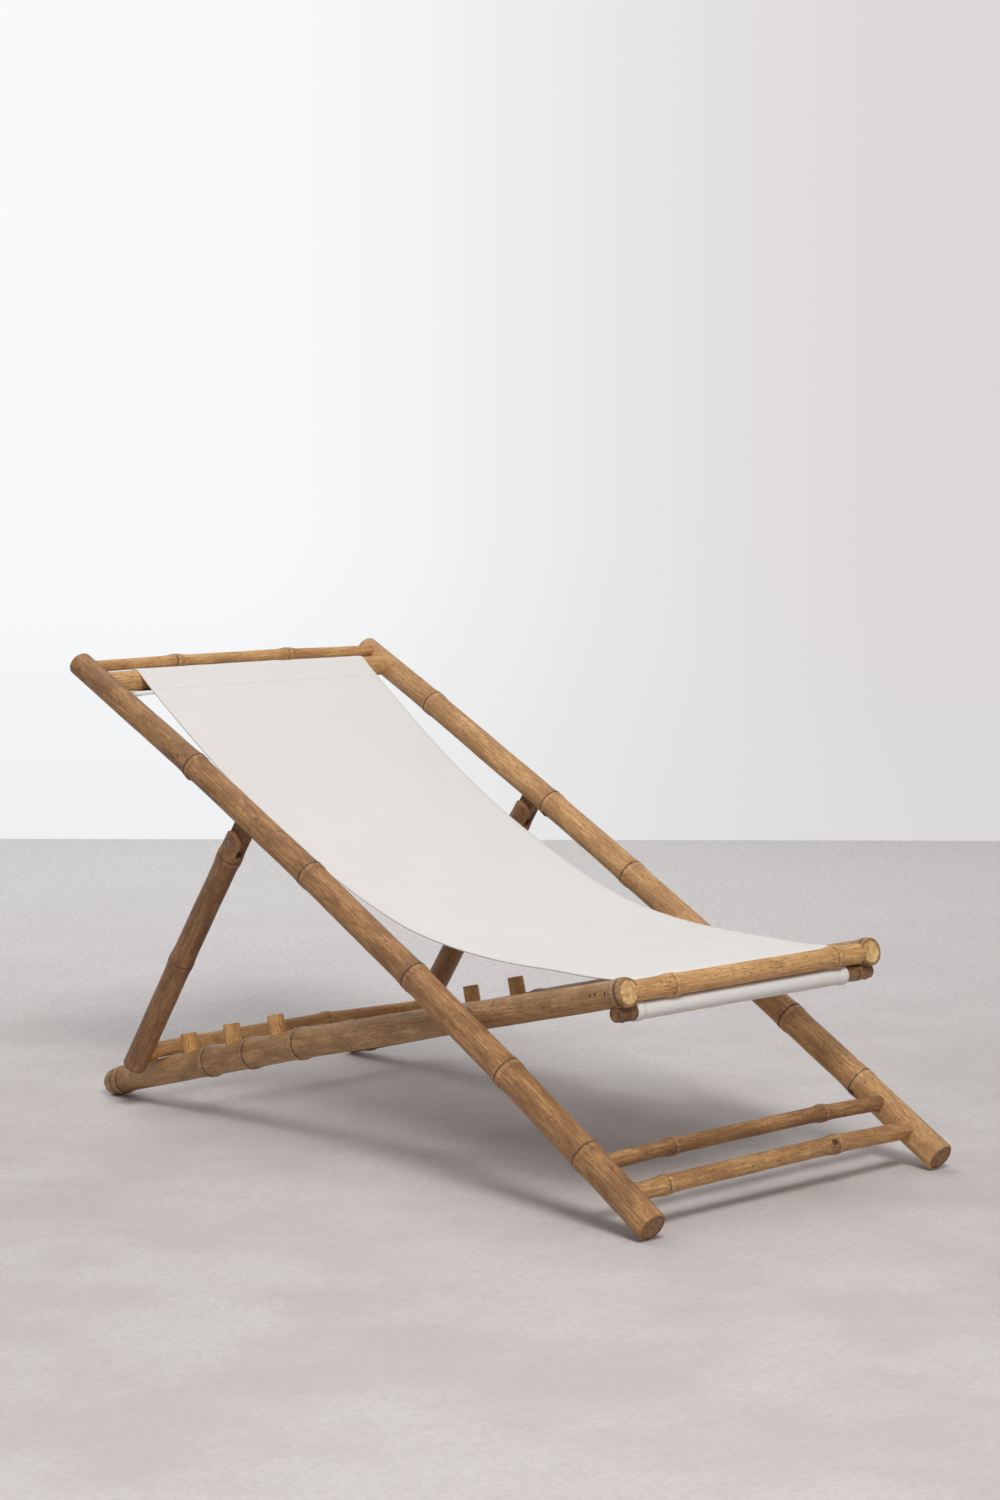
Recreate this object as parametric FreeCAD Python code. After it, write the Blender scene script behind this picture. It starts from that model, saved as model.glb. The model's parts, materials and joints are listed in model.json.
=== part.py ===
"""Folding bamboo recliner with a canvas sling.

Three frames make the chair. The back frame is two long poles with the bars between them.
The seat frame stands inside it and carries the pegs. The prop frame hangs under the long
poles and its crossbar drops between two pegs, which sets how far the back leans.

X is the width, +Y the rear, +Z up. The floor is Z = 0, and the origin lies on the floor in
the middle of the chair's length and width. "Left" is the side at -X.
"""
import FreeCAD
import Part

import math
import os

from FreeCAD import Vector

# Long poles, the sides of the back frame. Distances run from their top end.
long_pole_spacing = 560.0
long_pole_length = 1343.0
long_pole_top_radius = 18.2
long_pole_foot_radius = 21.0
long_pole_bow = {"left": 20.0, "right": 13.0}
long_pole_rings = {
    "left": [306.0, 592.0, 833.0, 1040.0, 1206.0],
    "right": [181.0, 478.0, 671.0, 850.0, 1029.0, 1178.0],
}

# Side poles, the sides of the seat frame. Distances run from their front end.
crossing_gap = 5.6
side_pole_length = 1118.0
side_pole_front_radius = 17.6
side_pole_belly_radius = 20.6
side_pole_rear_radius = 18.2
side_pole_belly_from = 600.0
side_pole_belly_to = 880.0
side_pole_bow = 8.0
side_pole_rings = {
    "left": [654.0, 768.0, 865.0, 1085.0],
    "right": [430.0, 661.0, 860.0, 1068.0],
}
side_pole_ring_swell = 1.2

# Where the two frames cross, and how far they stand open in the lowest notch.
pivot_from_top = 921.0
pivot_from_front = 285.0
opening_angle = 42.5
pivot_bolt_radius = 4.0
pivot_running_clearance = 0.08
pivot_head_radius = 8.0
pivot_head_height = 4.0
pivot_thread_depth = 28.0
pivot_washer_radius = 12.0

# Bars between the long poles. "rise" is the height above the poles' own axes.
# The stretchers' places are measured up from the feet.
top_rail_radius = 8.0
top_rail_from_top = 25.0
top_rail_rise = 7.5
top_rail_rings = [155.0, 372.0]
top_rail_bow = 3.0
top_bar_radius = 15.0
top_bar_from_top = 61.0
top_bar_rise = 0.5
upper_stretcher_radius = 10.5
upper_stretcher_from_foot = 115.0
upper_stretcher_rings = [128.0, 420.0]
lower_stretcher_radius = 12.0
lower_stretcher_from_foot = 57.0
lower_stretcher_rings = [66.0, 388.0]
stretcher_rise = 4.0
stretcher_bow = 6.0

# Front rail and the dowel under it that holds the lower end of the canvas.
front_rail_radius = 14.0
front_rail_from_front = 13.0
dowel_radius = 10.5
dowel_from_front = 21.0
dowel_notch = 3.0
dowel_overhang = 10.0

# Pegs on the side poles. The first is the rearmost.
peg_count = 4
peg_radius = 12.0
peg_spacing = 103.5
first_peg_from_front = 1018.0
peg_height = 26.0

# Prop frame. The hinge tongues hang from the long poles, inside a fork in each prop.
# The crossbar's clearance over the side poles keeps it free of the rings on either side of it.
prop_radius = 17.5
prop_rings = [25.0, 223.0]
prop_bow = 1.5
hinge_from_top = 436.0
hinge_drop = 46.0
tongue_width = 28.0
tongue_thickness = 12.0
tongue_mortise = 13.0
fork_side_clearance = 0.3
fork_root_clearance = 2.0
fork_head_radius = 18.0
crossbar_radius = 11.0
crossbar_bow = 5.0
crossbar_rings = [92.0, 356.0]
crossbar_to_peg = 17.0
crossbar_clearance = 1.75
prop_below_crossbar = 27.0
hinge_bolt_radius = 3.0
hinge_running_clearance = 0.08
hinge_head_radius = 6.0
hinge_head_height = 3.0
hinge_head_recess = 5.0
hinge_bolt_bite = 8.0

# Canvas: one cloth with a sleeve sewn at each end.
cloth = 1.2
sleeve_slack = 0.4
canvas_top_gap = 42.0
canvas_front_gap = {"left": 3.4, "right": 27.4}
canvas_sag = 116.0
canvas_sag_shape = [
    (0.10, 0.32), (0.21, 0.61), (0.33, 0.84), (0.45, 0.97), (0.53, 1.00),
    (0.61, 0.97), (0.70, 0.83), (0.79, 0.62), (0.89, 0.33), (0.96, 0.13),
]
canvas_bend_radius = 12.0
canvas_bend_rise = 4.0
canvas_front_slope = 2.0

# Workmanship shared by all the culms.
ring_reach = 15.0
ring_swell = 1.7
end_edge = 1.5
seat_gap = 0.3

SIDES = {"left": -1.0, "right": 1.0}


def share(value, low, high):
    """How far a value lies from low to high, as 0 to 1."""
    return min(max((value - low) / (high - low), 0.0), 1.0)


def bow_height(distance, length, bow):
    """Height of a bowed pole's axis over the straight line between its ends."""
    part_way = distance / length
    return 4.0 * bow * part_way * (1.0 - part_way)


def mean_bow(distance):
    """Bow of the two long poles, averaged, at a distance from their top end."""
    bows = list(long_pole_bow.values())
    return bow_height(distance, long_pole_length, sum(bows) / len(bows))


def long_pole_radius(distance):
    """The long poles thicken steadily from the top to the foot."""
    grown = share(distance, 0.0, long_pole_length)
    return long_pole_top_radius + grown * (long_pole_foot_radius - long_pole_top_radius)


def side_pole_radius(distance):
    """The side poles are thickest where the pegs begin, and thinner at both ends."""
    growing = share(distance, 0.0, side_pole_belly_from)
    thinning = share(distance, side_pole_belly_to, side_pole_length)
    grown = growing * (side_pole_belly_radius - side_pole_front_radius)
    lost = thinning * (side_pole_belly_radius - side_pole_rear_radius)
    return side_pole_front_radius + grown - lost


side_pole_spacing = long_pole_spacing - 2 * (
    long_pole_radius(pivot_from_top) + side_pole_radius(pivot_from_front) + crossing_gap)


class Slope:
    """A frame seen from the side: points go by width, distance along it and height square to it."""

    def __init__(self, along, up, zero):
        self.along = along
        self.up = up
        self.zero = zero

    def at(self, x, distance, height=0.0):
        """Point at a width, a distance along the frame and a height over it."""
        return self.zero + Vector(x, 0, 0) + self.along * distance + self.up * height


def stance():
    """Set both frames on the floor, crossing at the pivot with the opening angle between them."""
    opening = math.radians(opening_angle)
    back_height = mean_bow(pivot_from_top)
    seat_height = bow_height(pivot_from_front, side_pole_length, side_pole_bow)
    foot_reach = long_pole_length - end_edge - pivot_from_top
    foot_depth = back_height + long_pole_foot_radius
    rear_reach = side_pole_length - end_edge - pivot_from_front
    rear_depth = seat_height + side_pole_rear_radius
    rise = foot_reach * math.sin(opening) + foot_depth * math.cos(opening) - rear_depth
    run = rear_reach + foot_reach * math.cos(opening) - foot_depth * math.sin(opening)
    seat_slope = math.atan2(rise, run)
    back_slope = opening - seat_slope
    pivot = Vector(0, 0, foot_reach * math.sin(back_slope) + foot_depth * math.cos(back_slope))

    back_along = Vector(0, -math.cos(back_slope), -math.sin(back_slope))
    back_up = Vector(0, -math.sin(back_slope), math.cos(back_slope))
    back_zero = pivot - back_along * pivot_from_top - back_up * back_height
    seat_along = Vector(0, math.cos(seat_slope), -math.sin(seat_slope))
    seat_up = Vector(0, math.sin(seat_slope), math.cos(seat_slope))
    seat_zero = pivot - seat_along * pivot_from_front - seat_up * seat_height
    return Slope(back_along, back_up, back_zero), Slope(seat_along, seat_up, seat_zero), pivot


back, seat, pivot = stance()


def beside(point, x):
    """The same point at another width."""
    return Vector(x, point.y, point.z)


def circle_wire(centre, normal, radius, start):
    """A circle as a wire, with its seam at the start direction."""
    circle = Part.Circle(centre, normal, radius)
    circle.XAxis = start
    return Part.Wire([circle.toShape()])


class Culm:
    """A length of bamboo: straight runs of changing thickness, with a raised ring where two meet.

    The runs follow a gentle bow, so the cane bends a little at each ring, as real bamboo does.
    """

    def __init__(self, start, end, radius, rings=(), bow=Vector(0, 0, 0), edge=end_edge, swell=ring_swell):
        self.start = start
        self.end = end
        self.length = (end - start).Length
        self.radius = radius if callable(radius) else (lambda distance: radius)
        self.rings = [ring for ring in rings if ring_reach < ring < self.length - ring_reach]
        self.bow = bow
        self.edge = edge
        self.swell = swell

    def bent(self, distance):
        """Point on the gentle bow."""
        part_way = distance / self.length
        return self.start + (self.end - self.start) * part_way + self.bow * (4 * part_way * (1 - part_way))

    def runs(self):
        """The straight runs: start and end distance, start and end point, direction and radius."""
        marks = [0.0] + self.rings + [self.length]
        found = []
        for near, far in zip(marks, marks[1:]):
            first = self.bent(near)
            last = self.bent(far)
            found.append((near, far, first, last, (last - first).normalize(), self.radius((near + far) / 2)))
        return found

    def point_and_radius(self, distance):
        """Point on the axis of the run that the distance falls in, and that run's radius."""
        for near, far, first, last, _, radius in self.runs():
            if distance <= far:
                break
        return first + (last - first) * ((distance - near) / (far - near)), radius

    def circles(self):
        """The circles that the culm is lofted through, as centre, direction and radius."""
        runs = self.runs()
        first_run = runs[0]
        last_run = runs[-1]
        circles = []
        if self.edge:
            circles.append((first_run[2], first_run[4], first_run[5] - self.edge))
        circles.append((first_run[2] + first_run[4] * self.edge, first_run[4], first_run[5]))
        for this, following in zip(runs, runs[1:]):
            ridge = (this[4] + following[4]).normalize()
            swollen = (this[5] + following[5]) / 2 + self.swell
            circles.append((this[3] - this[4] * ring_reach, this[4], this[5]))
            circles.append((this[3], ridge, swollen))
            circles.append((following[2] + following[4] * ring_reach, following[4], following[5]))
        circles.append((last_run[3] - last_run[4] * self.edge, last_run[4], last_run[5]))
        if self.edge:
            circles.append((last_run[3], last_run[4], last_run[5] - self.edge))
        return circles

    def solid(self):
        """The culm as one solid."""
        across = Vector(1, 0, 0) if abs(self.runs()[0][4].x) < 0.5 else Vector(0, 0, 1)
        wires = []
        for centre, direction, radius in self.circles():
            start = across - direction * across.dot(direction)
            wires.append(circle_wire(centre, direction, radius, start.normalize()))
        return Part.makeLoft(wires, True, True)


def long_pole_culm(side):
    """One long pole, from its top end to its foot."""
    x = SIDES[side] * long_pole_spacing / 2
    start = back.at(x, 0.0)
    end = back.at(x, long_pole_length)
    return Culm(start, end, long_pole_radius, long_pole_rings[side], back.up * long_pole_bow[side])


def side_pole_culm(side):
    """One side pole, from its front end to its rear end."""
    x = SIDES[side] * side_pole_spacing / 2
    start = seat.at(x, 0.0)
    end = seat.at(x, side_pole_length)
    return Culm(start, end, side_pole_radius, side_pole_rings[side], seat.up * side_pole_bow,
                swell=side_pole_ring_swell)


def round_bar(first, second, radius):
    """A plain round bar between two points."""
    return Part.makeCylinder(radius, (second - first).Length, first, second - first)


class CrossBar:
    """A bar between two poles, with its ends shaped to them."""

    def __init__(self, centre, spacing, radius, rings=(), bow=Vector(0, 0, 0)):
        self.centre = centre
        self.spacing = spacing
        self.radius = radius
        self.rings = rings
        self.bow = bow

    def culm(self):
        """The whole cane, from the axis of one pole to the axis of the other."""
        ends = [beside(self.centre, sign * self.spacing / 2) for sign in SIDES.values()]
        return Culm(ends[0], ends[1], self.radius, self.rings, self.bow, 0.0)

    def solid(self, poles):
        """The bar, cut to the two poles."""
        body = self.culm().solid()
        for pole in poles.values():
            body = body.cut(pole)
        return max(body.Solids, key=lambda piece: piece.Volume)


def crossbar_at(centre):
    """The bar between the two props."""
    bow = seat.up * crossbar_bow
    return CrossBar(centre, long_pole_spacing, crossbar_radius, crossbar_rings, bow)


def prop_line():
    """Hinge point and crossbar point of the prop frame, and the direction between them."""
    hinge = back.at(0, hinge_from_top, mean_bow(hinge_from_top) - hinge_drop)
    rest = first_peg_from_front - peg_radius - crossbar_radius - crossbar_to_peg
    level = seat.at(0, rest)
    cane = crossbar_at(level).culm()
    heights = []
    for side, sign in SIDES.items():
        under, pole_radius = side_pole_culm(side).point_and_radius(rest)
        over, _ = cane.point_and_radius((long_pole_spacing + sign * side_pole_spacing) / 2)
        heights.append((under - over).dot(seat.up) + pole_radius)
    crossbar = level + seat.up * (max(heights) + crossbar_radius + crossbar_clearance)
    run = crossbar - hinge
    return hinge, crossbar, run.normalize(), (crossbar - hinge).Length


hinge, crossbar_centre, prop_down, hinge_to_crossbar = prop_line()
prop_out = Vector(1, 0, 0).cross(prop_down)


def tongue(side):
    """The flat tongue under a long pole: round at its lower end, let into the pole above."""
    x = SIDES[side] * long_pole_spacing / 2
    centre = beside(hinge, x)
    thick = Vector(tongue_thickness / 2, 0, 0)
    foot = Part.makeCylinder(tongue_width / 2, tongue_thickness, centre - thick, Vector(1, 0, 0))
    own_bow = bow_height(hinge_from_top, long_pole_length, long_pole_bow[side])
    own_drop = hinge_drop + own_bow - mean_bow(hinge_from_top)
    lean = abs(prop_down.dot(back.up))
    reach = (own_drop - long_pole_radius(hinge_from_top)) / lean + tongue_mortise
    corner = centre - thick - prop_out * (tongue_width / 2)
    outline = [corner, corner + prop_out * tongue_width]
    outline += [point - prop_down * reach for point in reversed(outline)]
    blade = Part.Face(Part.makePolygon(outline + [outline[0]])).extrude(thick * 2)
    bore = Part.makeCylinder(hinge_bolt_radius + hinge_running_clearance, tongue_thickness * 2,
                             centre - thick * 2, Vector(1, 0, 0))
    return foot.fuse(blade).cut(bore).removeSplitter()


def prop_culm(side):
    """One prop, from above its hinge to its foot beside the side pole."""
    x = SIDES[side] * long_pole_spacing / 2
    start = beside(hinge, x) - prop_down * fork_head_radius
    end = beside(hinge, x) + prop_down * (hinge_to_crossbar + prop_below_crossbar)
    rings = [fork_head_radius + ring for ring in prop_rings]
    return Culm(start, end, prop_radius, rings, prop_out * prop_bow)


def prop(side):
    """A prop with its forked head, which is rounded so that it clears the long pole as it swings."""
    x = SIDES[side] * long_pole_spacing / 2
    centre = beside(hinge, x)
    body = prop_culm(side).solid()
    width = 4 * prop_radius
    head_block = Part.makeBox(width, width, fork_head_radius + 2 * end_edge)
    head_block.Placement = FreeCAD.Placement(
        centre, FreeCAD.Rotation(Vector(1, 0, 0), prop_out, -prop_down, "XZY"))
    head_block.translate(Vector(-width / 2, 0, 0) - prop_out * (width / 2))
    round_head = Part.makeCylinder(fork_head_radius, width, centre - Vector(width / 2, 0, 0), Vector(1, 0, 0))
    body = body.cut(head_block.cut(round_head))
    slot_half = tongue_thickness / 2 + fork_side_clearance
    slot_foot = tongue_width / 2 + fork_root_clearance
    corner = centre + prop_down * slot_foot - Vector(slot_half, 0, 0) - prop_out * (width / 2)
    outline = [corner, corner + prop_out * width]
    outline += [point - prop_down * (slot_foot + 2 * fork_head_radius) for point in reversed(outline)]
    slot = Part.Face(Part.makePolygon(outline + [outline[0]])).extrude(Vector(2 * slot_half, 0, 0))
    return body.cut(slot)


def hinge_bolt(side):
    """Bolt through the fork: sunk head outside, threaded into the inner cheek."""
    outward = Vector(SIDES[side], 0, 0)
    face = beside(hinge, SIDES[side] * (long_pole_spacing / 2 + prop_radius))
    seat_point = face - outward * hinge_head_recess
    head = Part.makeCylinder(hinge_head_radius, hinge_head_height, seat_point, outward)
    cheek = prop_radius - tongue_thickness / 2 - fork_side_clearance
    shank_length = 2 * prop_radius - hinge_head_recess - cheek + hinge_bolt_bite
    shank = Part.makeCylinder(hinge_bolt_radius, shank_length, seat_point, -outward)
    return head.fuse(shank)


def hinge_bolt_hole(side):
    """Hole for the hinge bolt: a counterbore outside, and a bore right through both cheeks."""
    outward = Vector(SIDES[side], 0, 0)
    face = beside(hinge, SIDES[side] * (long_pole_spacing / 2 + prop_radius))
    seat_point = face - outward * hinge_head_recess
    recess = Part.makeCylinder(hinge_head_radius + seat_gap, 2 * hinge_head_recess, seat_point, outward)
    bore = Part.makeCylinder(hinge_bolt_radius, 3 * prop_radius, seat_point, -outward)
    return recess.fuse(bore)


def pivot_bolt(side):
    """Bolt at the crossing: head on the side pole's inner face, threaded into the long pole."""
    outward = Vector(SIDES[side], 0, 0)
    start = pivot_head_seat(side)
    head = Part.makeCylinder(pivot_head_radius, pivot_head_height, start, -outward)
    tip_x = long_pole_spacing / 2 - long_pole_radius(pivot_from_top) + pivot_thread_depth
    shank = round_bar(start, beside(start, SIDES[side] * tip_x), pivot_bolt_radius)
    return head.fuse(shank)


def pivot_head_seat(side):
    """Centre of the flat that the pivot bolt's head turns against."""
    inner = side_pole_spacing / 2 - side_pole_radius(pivot_from_front) + pivot_head_height
    return beside(pivot, SIDES[side] * inner)


def pivot_hole(side):
    """Bore in the side pole for the pivot bolt, with the flat seat for its head."""
    outward = Vector(SIDES[side], 0, 0)
    seat_point = pivot_head_seat(side) + outward * seat_gap / 3
    recess = Part.makeCylinder(pivot_head_radius + 2 * seat_gap, 2 * pivot_head_height, seat_point, -outward)
    bore = Part.makeCylinder(pivot_bolt_radius + pivot_running_clearance, 3 * side_pole_belly_radius,
                             seat_point, outward)
    return recess.fuse(bore)


def pivot_washer(side):
    """Washer that keeps the two poles apart at the crossing."""
    inner_x = side_pole_spacing / 2 + side_pole_radius(pivot_from_front) + seat_gap
    outer_x = long_pole_spacing / 2 - long_pole_radius(pivot_from_top) - seat_gap
    start = beside(pivot, SIDES[side] * inner_x)
    end = beside(pivot, SIDES[side] * outer_x)
    ring = round_bar(start, end, pivot_washer_radius)
    return ring.cut(round_bar(start, end, pivot_bolt_radius + seat_gap))


def peg(side, number, pole):
    """A peg that stands on a side pole, with its foot shaped to the pole. Number 0 is the rearmost."""
    distance = first_peg_from_front - number * peg_spacing
    base, pole_radius = side_pole_culm(side).point_and_radius(distance)
    tall = pole_radius + peg_height
    body = Part.makeCylinder(peg_radius, tall, base, seat.up).cut(pole)
    return max(body.Solids, key=lambda piece: piece.CenterOfMass.dot(seat.up))


def dowel_centre():
    """Axis of the canvas dowel, let into notches under the side poles."""
    drop = side_pole_radius(dowel_from_front) + dowel_radius - dowel_notch
    axis = bow_height(dowel_from_front, side_pole_length, side_pole_bow)
    return seat.at(0, dowel_from_front, axis - drop)


def canvas_edges():
    """Places across the chair of the cloth's left and right hems, at the top and at the front."""
    top_clear = long_pole_spacing / 2 - long_pole_top_radius - canvas_top_gap
    front_clear = side_pole_spacing / 2 - side_pole_front_radius
    top = {side: sign * top_clear for side, sign in SIDES.items()}
    front = {side: sign * (front_clear - canvas_front_gap[side]) for side, sign in SIDES.items()}
    return top, front


def sleeve(centre, bar_radius, edges):
    """The sewn loop of canvas round a bar, from its left to its right edge."""
    inside = bar_radius + sleeve_slack
    width = edges["right"] - edges["left"]
    start = beside(centre, edges["left"])
    outer = Part.makeCylinder(inside + cloth, width, start, Vector(1, 0, 0))
    return outer.cut(Part.makeCylinder(inside, width, start, Vector(1, 0, 0)))


def canvas_hanging_run(start, end, over):
    """Points of the sagging cloth from its top to its front, with the direction square to it at each."""
    points = [start]
    for part_way, depth in canvas_sag_shape:
        points.append(start + (end - start) * part_way - Vector(0, 0, canvas_sag * depth))
    points.append(end)
    normals = []
    for index in range(len(points)):
        before = points[max(index - 1, 0)]
        after = points[min(index + 1, len(points) - 1)]
        normals.append(Vector(1, 0, 0).cross(before - after).normalize())
    normals[-1] = over
    return points, normals


def canvas_side_view():
    """Outline of the canvas from the side, and its highest and lowest points.

    It hangs from the top bar, bends down close behind the front rail and falls to the dowel's sleeve.
    """
    top = back.at(0, top_bar_from_top, mean_bow(top_bar_from_top) + top_bar_rise)
    start = top + back.up * (top_bar_radius + sleeve_slack + 1.5 * cloth + seat_gap)
    behind = front_rail_radius + sleeve_slack + cloth / 2
    level = front_rail_radius + canvas_bend_rise - canvas_bend_radius
    face = front_rail_bar().centre + seat.along * behind
    bend = face + seat.along * canvas_bend_radius + seat.up * level
    slope = math.radians(canvas_front_slope)
    over = Vector(0, math.sin(slope), math.cos(slope))
    points, normals = canvas_hanging_run(start, bend + over * canvas_bend_radius, over)

    low = dowel_centre()
    beyond = (face - low).dot(seat.along)
    clear = dowel_radius + sleeve_slack + cloth + seat_gap
    bottom = low + seat.along * beyond + seat.up * math.sqrt(clear ** 2 - (beyond - cloth / 2) ** 2)

    edges = []
    for offset in (cloth / 2, -cloth / 2):
        curve = Part.BSplineCurve()
        curve.interpolate([point + normal * offset for point, normal in zip(points, normals)])
        radius = canvas_bend_radius + offset
        turns = [over, (over - seat.along).normalize(), -seat.along]
        arc = Part.Arc(*[bend + turn * radius for turn in turns])
        fall = Part.LineSegment(bend - seat.along * radius, bottom - seat.along * offset)
        edges += [curve.toShape(), arc.toShape(), fall.toShape()]
    for end, across in ((start, normals[0]), (bottom, seat.along)):
        half = across * (cloth / 2)
        edges.append(Part.LineSegment(end + half, end - half).toShape())
    return Part.Wire(Part.__sortEdges__(edges)), start, bottom


def canvas_sling():
    """The hanging cloth between its two sleeves, narrower at the front than at the top."""
    outline, start, bottom = canvas_side_view()
    top, front = canvas_edges()
    hems = []
    for side in SIDES:
        slant = (top[side] - front[side]) / (start.y - bottom.y)
        hem = FreeCAD.Matrix()
        hem.A12 = slant
        hem.A14 = top[side] - slant * start.y
        hems.append(outline.transformGeometry(hem))
    return Part.makeLoft(hems, True, True)


def back_bar(distance, rise, radius, rings=(), bow=0.0):
    """A bar between the long poles."""
    centre = back.at(0, distance, mean_bow(distance) + rise)
    return CrossBar(centre, long_pole_spacing, radius, rings, back.up * bow)


def make_back_frame(parts):
    """The long poles with their bars and hinge tongues, and the bolts of the crossing."""
    poles = {side: long_pole_culm(side).solid() for side in SIDES}
    bars = {
        "top_rail": back_bar(
            top_rail_from_top, top_rail_rise, top_rail_radius, top_rail_rings, top_rail_bow),
        "top_canvas_bar": back_bar(top_bar_from_top, top_bar_rise, top_bar_radius),
        "upper_stretcher": back_bar(
            long_pole_length - upper_stretcher_from_foot, stretcher_rise, upper_stretcher_radius,
            upper_stretcher_rings, stretcher_bow),
        "lower_stretcher": back_bar(
            long_pole_length - lower_stretcher_from_foot, stretcher_rise, lower_stretcher_radius,
            lower_stretcher_rings, stretcher_bow),
    }
    for name, bar in bars.items():
        parts[name] = bar.solid(poles)
    for side, pole in poles.items():
        parts[side + "_hinge_tongue"] = tongue(side)
        parts[side + "_long_pole"] = pole.cut(parts[side + "_hinge_tongue"]).cut(pivot_bolt(side))
    parts["pivot_bolts"] = Part.makeCompound([pivot_bolt(side) for side in SIDES])


def make_seat_frame(parts):
    """The side poles with the front rail, the dowel, the pegs, and the washers at the crossing."""
    poles = {side: side_pole_culm(side).solid() for side in SIDES}
    parts["front_rail"] = front_rail_bar().solid(poles)
    low_centre = dowel_centre()
    reach = side_pole_spacing / 2 + dowel_overhang
    dowel = round_bar(beside(low_centre, -reach), beside(low_centre, reach), dowel_radius)
    for side, pole in poles.items():
        parts[side + "_pegs"] = Part.makeCompound([peg(side, number, pole) for number in range(peg_count)])
        parts[side + "_side_pole"] = pole.cut(dowel).cut(pivot_hole(side))
    parts["front_canvas_dowel"] = dowel
    parts["pivot_washers"] = Part.makeCompound([pivot_washer(side) for side in SIDES])


def make_prop_frame(parts):
    """The two props with the crossbar between them and their hinge bolts."""
    props = {side: prop(side) for side in SIDES}
    parts["prop_crossbar"] = crossbar_at(crossbar_centre).solid(props)
    for side, one in props.items():
        parts[side + "_prop"] = one.cut(hinge_bolt_hole(side))
    parts["hinge_bolts"] = Part.makeCompound([hinge_bolt(side) for side in SIDES])


def make_canvas(parts):
    """The cloth: the hanging sheet and the sleeve at each end of it."""
    top_edges, front_edges = canvas_edges()
    top_centre = back.at(0, top_bar_from_top, mean_bow(top_bar_from_top) + top_bar_rise)
    parts["canvas_top_sleeve"] = sleeve(top_centre, top_bar_radius, top_edges)
    parts["canvas_front_sleeve"] = sleeve(dowel_centre(), dowel_radius, front_edges)
    parts["canvas_sling"] = canvas_sling()


def front_rail_bar():
    """The rail between the front ends of the side poles."""
    axis = bow_height(front_rail_from_front, side_pole_length, side_pole_bow)
    centre = seat.at(0, front_rail_from_front, axis)
    return CrossBar(centre, side_pole_spacing, front_rail_radius)


def main():
    """Build the pieces, stand them on the floor with the origin in the middle, and write the files."""
    parts = {}
    make_back_frame(parts)
    make_seat_frame(parts)
    make_prop_frame(parts)
    make_canvas(parts)
    poles = [parts[side + "_" + pole] for side in SIDES for pole in ("long_pole", "side_pole")]
    box = Part.makeCompound(poles).optimalBoundingBox()
    to_origin = Vector(0, -(box.YMin + box.YMax) / 2, -box.ZMin)
    os.makedirs("parts", exist_ok=True)
    for name, shape in parts.items():
        shape.translate(to_origin)
        shape.exportStep("parts/%s.step" % name)
    for name, point in (("origin shift", Vector(0, 0, 0)), ("pivot", pivot), ("hinge", hinge)):
        placed = point + to_origin
        print("%s y %.3f z %.3f" % (name, placed.y, placed.z))
    swing = math.degrees(math.acos(prop_down.dot(-back.along)))
    print("prop to long pole %.2f degrees, hinge to crossbar %.2f" % (swing, hinge_to_crossbar))


main()
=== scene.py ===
"""Looks of the folding bamboo recliner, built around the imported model.

One Geometry Nodes tree draws every cane, and others set the pegs, the nails and the stitches.
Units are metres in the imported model's frame: X is the width, +Y the rear, +Z up, and the
floor is Z = 0. "Left" is the side at -X. Along a long pole distances run from its top end,
and along a side pole from its front end. Colours are as a screen shows them, from 0 to 255.
"""

import json
import logging
import math
from collections.abc import Sequence
from dataclasses import dataclass, field
from enum import Enum
from typing import ClassVar

import bmesh
import bpy
from mathutils import Matrix, Vector, noise


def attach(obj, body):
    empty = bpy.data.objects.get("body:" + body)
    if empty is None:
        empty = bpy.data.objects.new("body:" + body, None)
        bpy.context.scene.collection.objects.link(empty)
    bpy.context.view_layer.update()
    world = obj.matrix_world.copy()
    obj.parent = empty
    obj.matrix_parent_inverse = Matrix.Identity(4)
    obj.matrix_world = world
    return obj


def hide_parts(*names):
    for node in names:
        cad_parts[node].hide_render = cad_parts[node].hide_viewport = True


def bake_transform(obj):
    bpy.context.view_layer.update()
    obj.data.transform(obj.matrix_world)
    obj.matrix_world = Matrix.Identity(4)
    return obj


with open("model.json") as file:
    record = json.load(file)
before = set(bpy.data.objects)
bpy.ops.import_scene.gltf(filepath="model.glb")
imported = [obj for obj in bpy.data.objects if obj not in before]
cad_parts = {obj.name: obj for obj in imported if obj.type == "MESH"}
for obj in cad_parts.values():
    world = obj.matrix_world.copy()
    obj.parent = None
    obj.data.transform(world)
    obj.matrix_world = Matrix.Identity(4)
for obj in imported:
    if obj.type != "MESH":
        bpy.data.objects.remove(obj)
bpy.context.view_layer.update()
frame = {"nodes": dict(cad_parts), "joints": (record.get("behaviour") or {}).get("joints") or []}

log = logging.getLogger("recliner")

MOST_RINGS = 7
NO_RING = 10.0
AROUND = 48
CAP_ROWS = 5
EDGE_ROWS = 3
ACROSS = Vector((1.0, 0.0, 0.0))
SOCKETS = {float: "NodeSocketFloat", int: "NodeSocketInt", tuple: "NodeSocketVector",
           bpy.types.Material: "NodeSocketMaterial", bpy.types.Mesh: "NodeSocketGeometry"}

Colour = tuple[int, int, int]


class Side(Enum):
    """The two sides of the chair, by the sign of X."""

    LEFT = -1.0
    RIGHT = 1.0

    @property
    def label(self) -> str:
        """The side's name, as the nodes are named."""
        return self.name.lower()

    @property
    def outward(self) -> Vector:
        """The direction away from the chair's middle."""
        return ACROSS * self.value


class Body(Enum):
    """The three bodies that move against each other."""

    SEAT = "seat_frame"
    BACK = "back_frame"
    PROP = "prop_frame"


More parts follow.
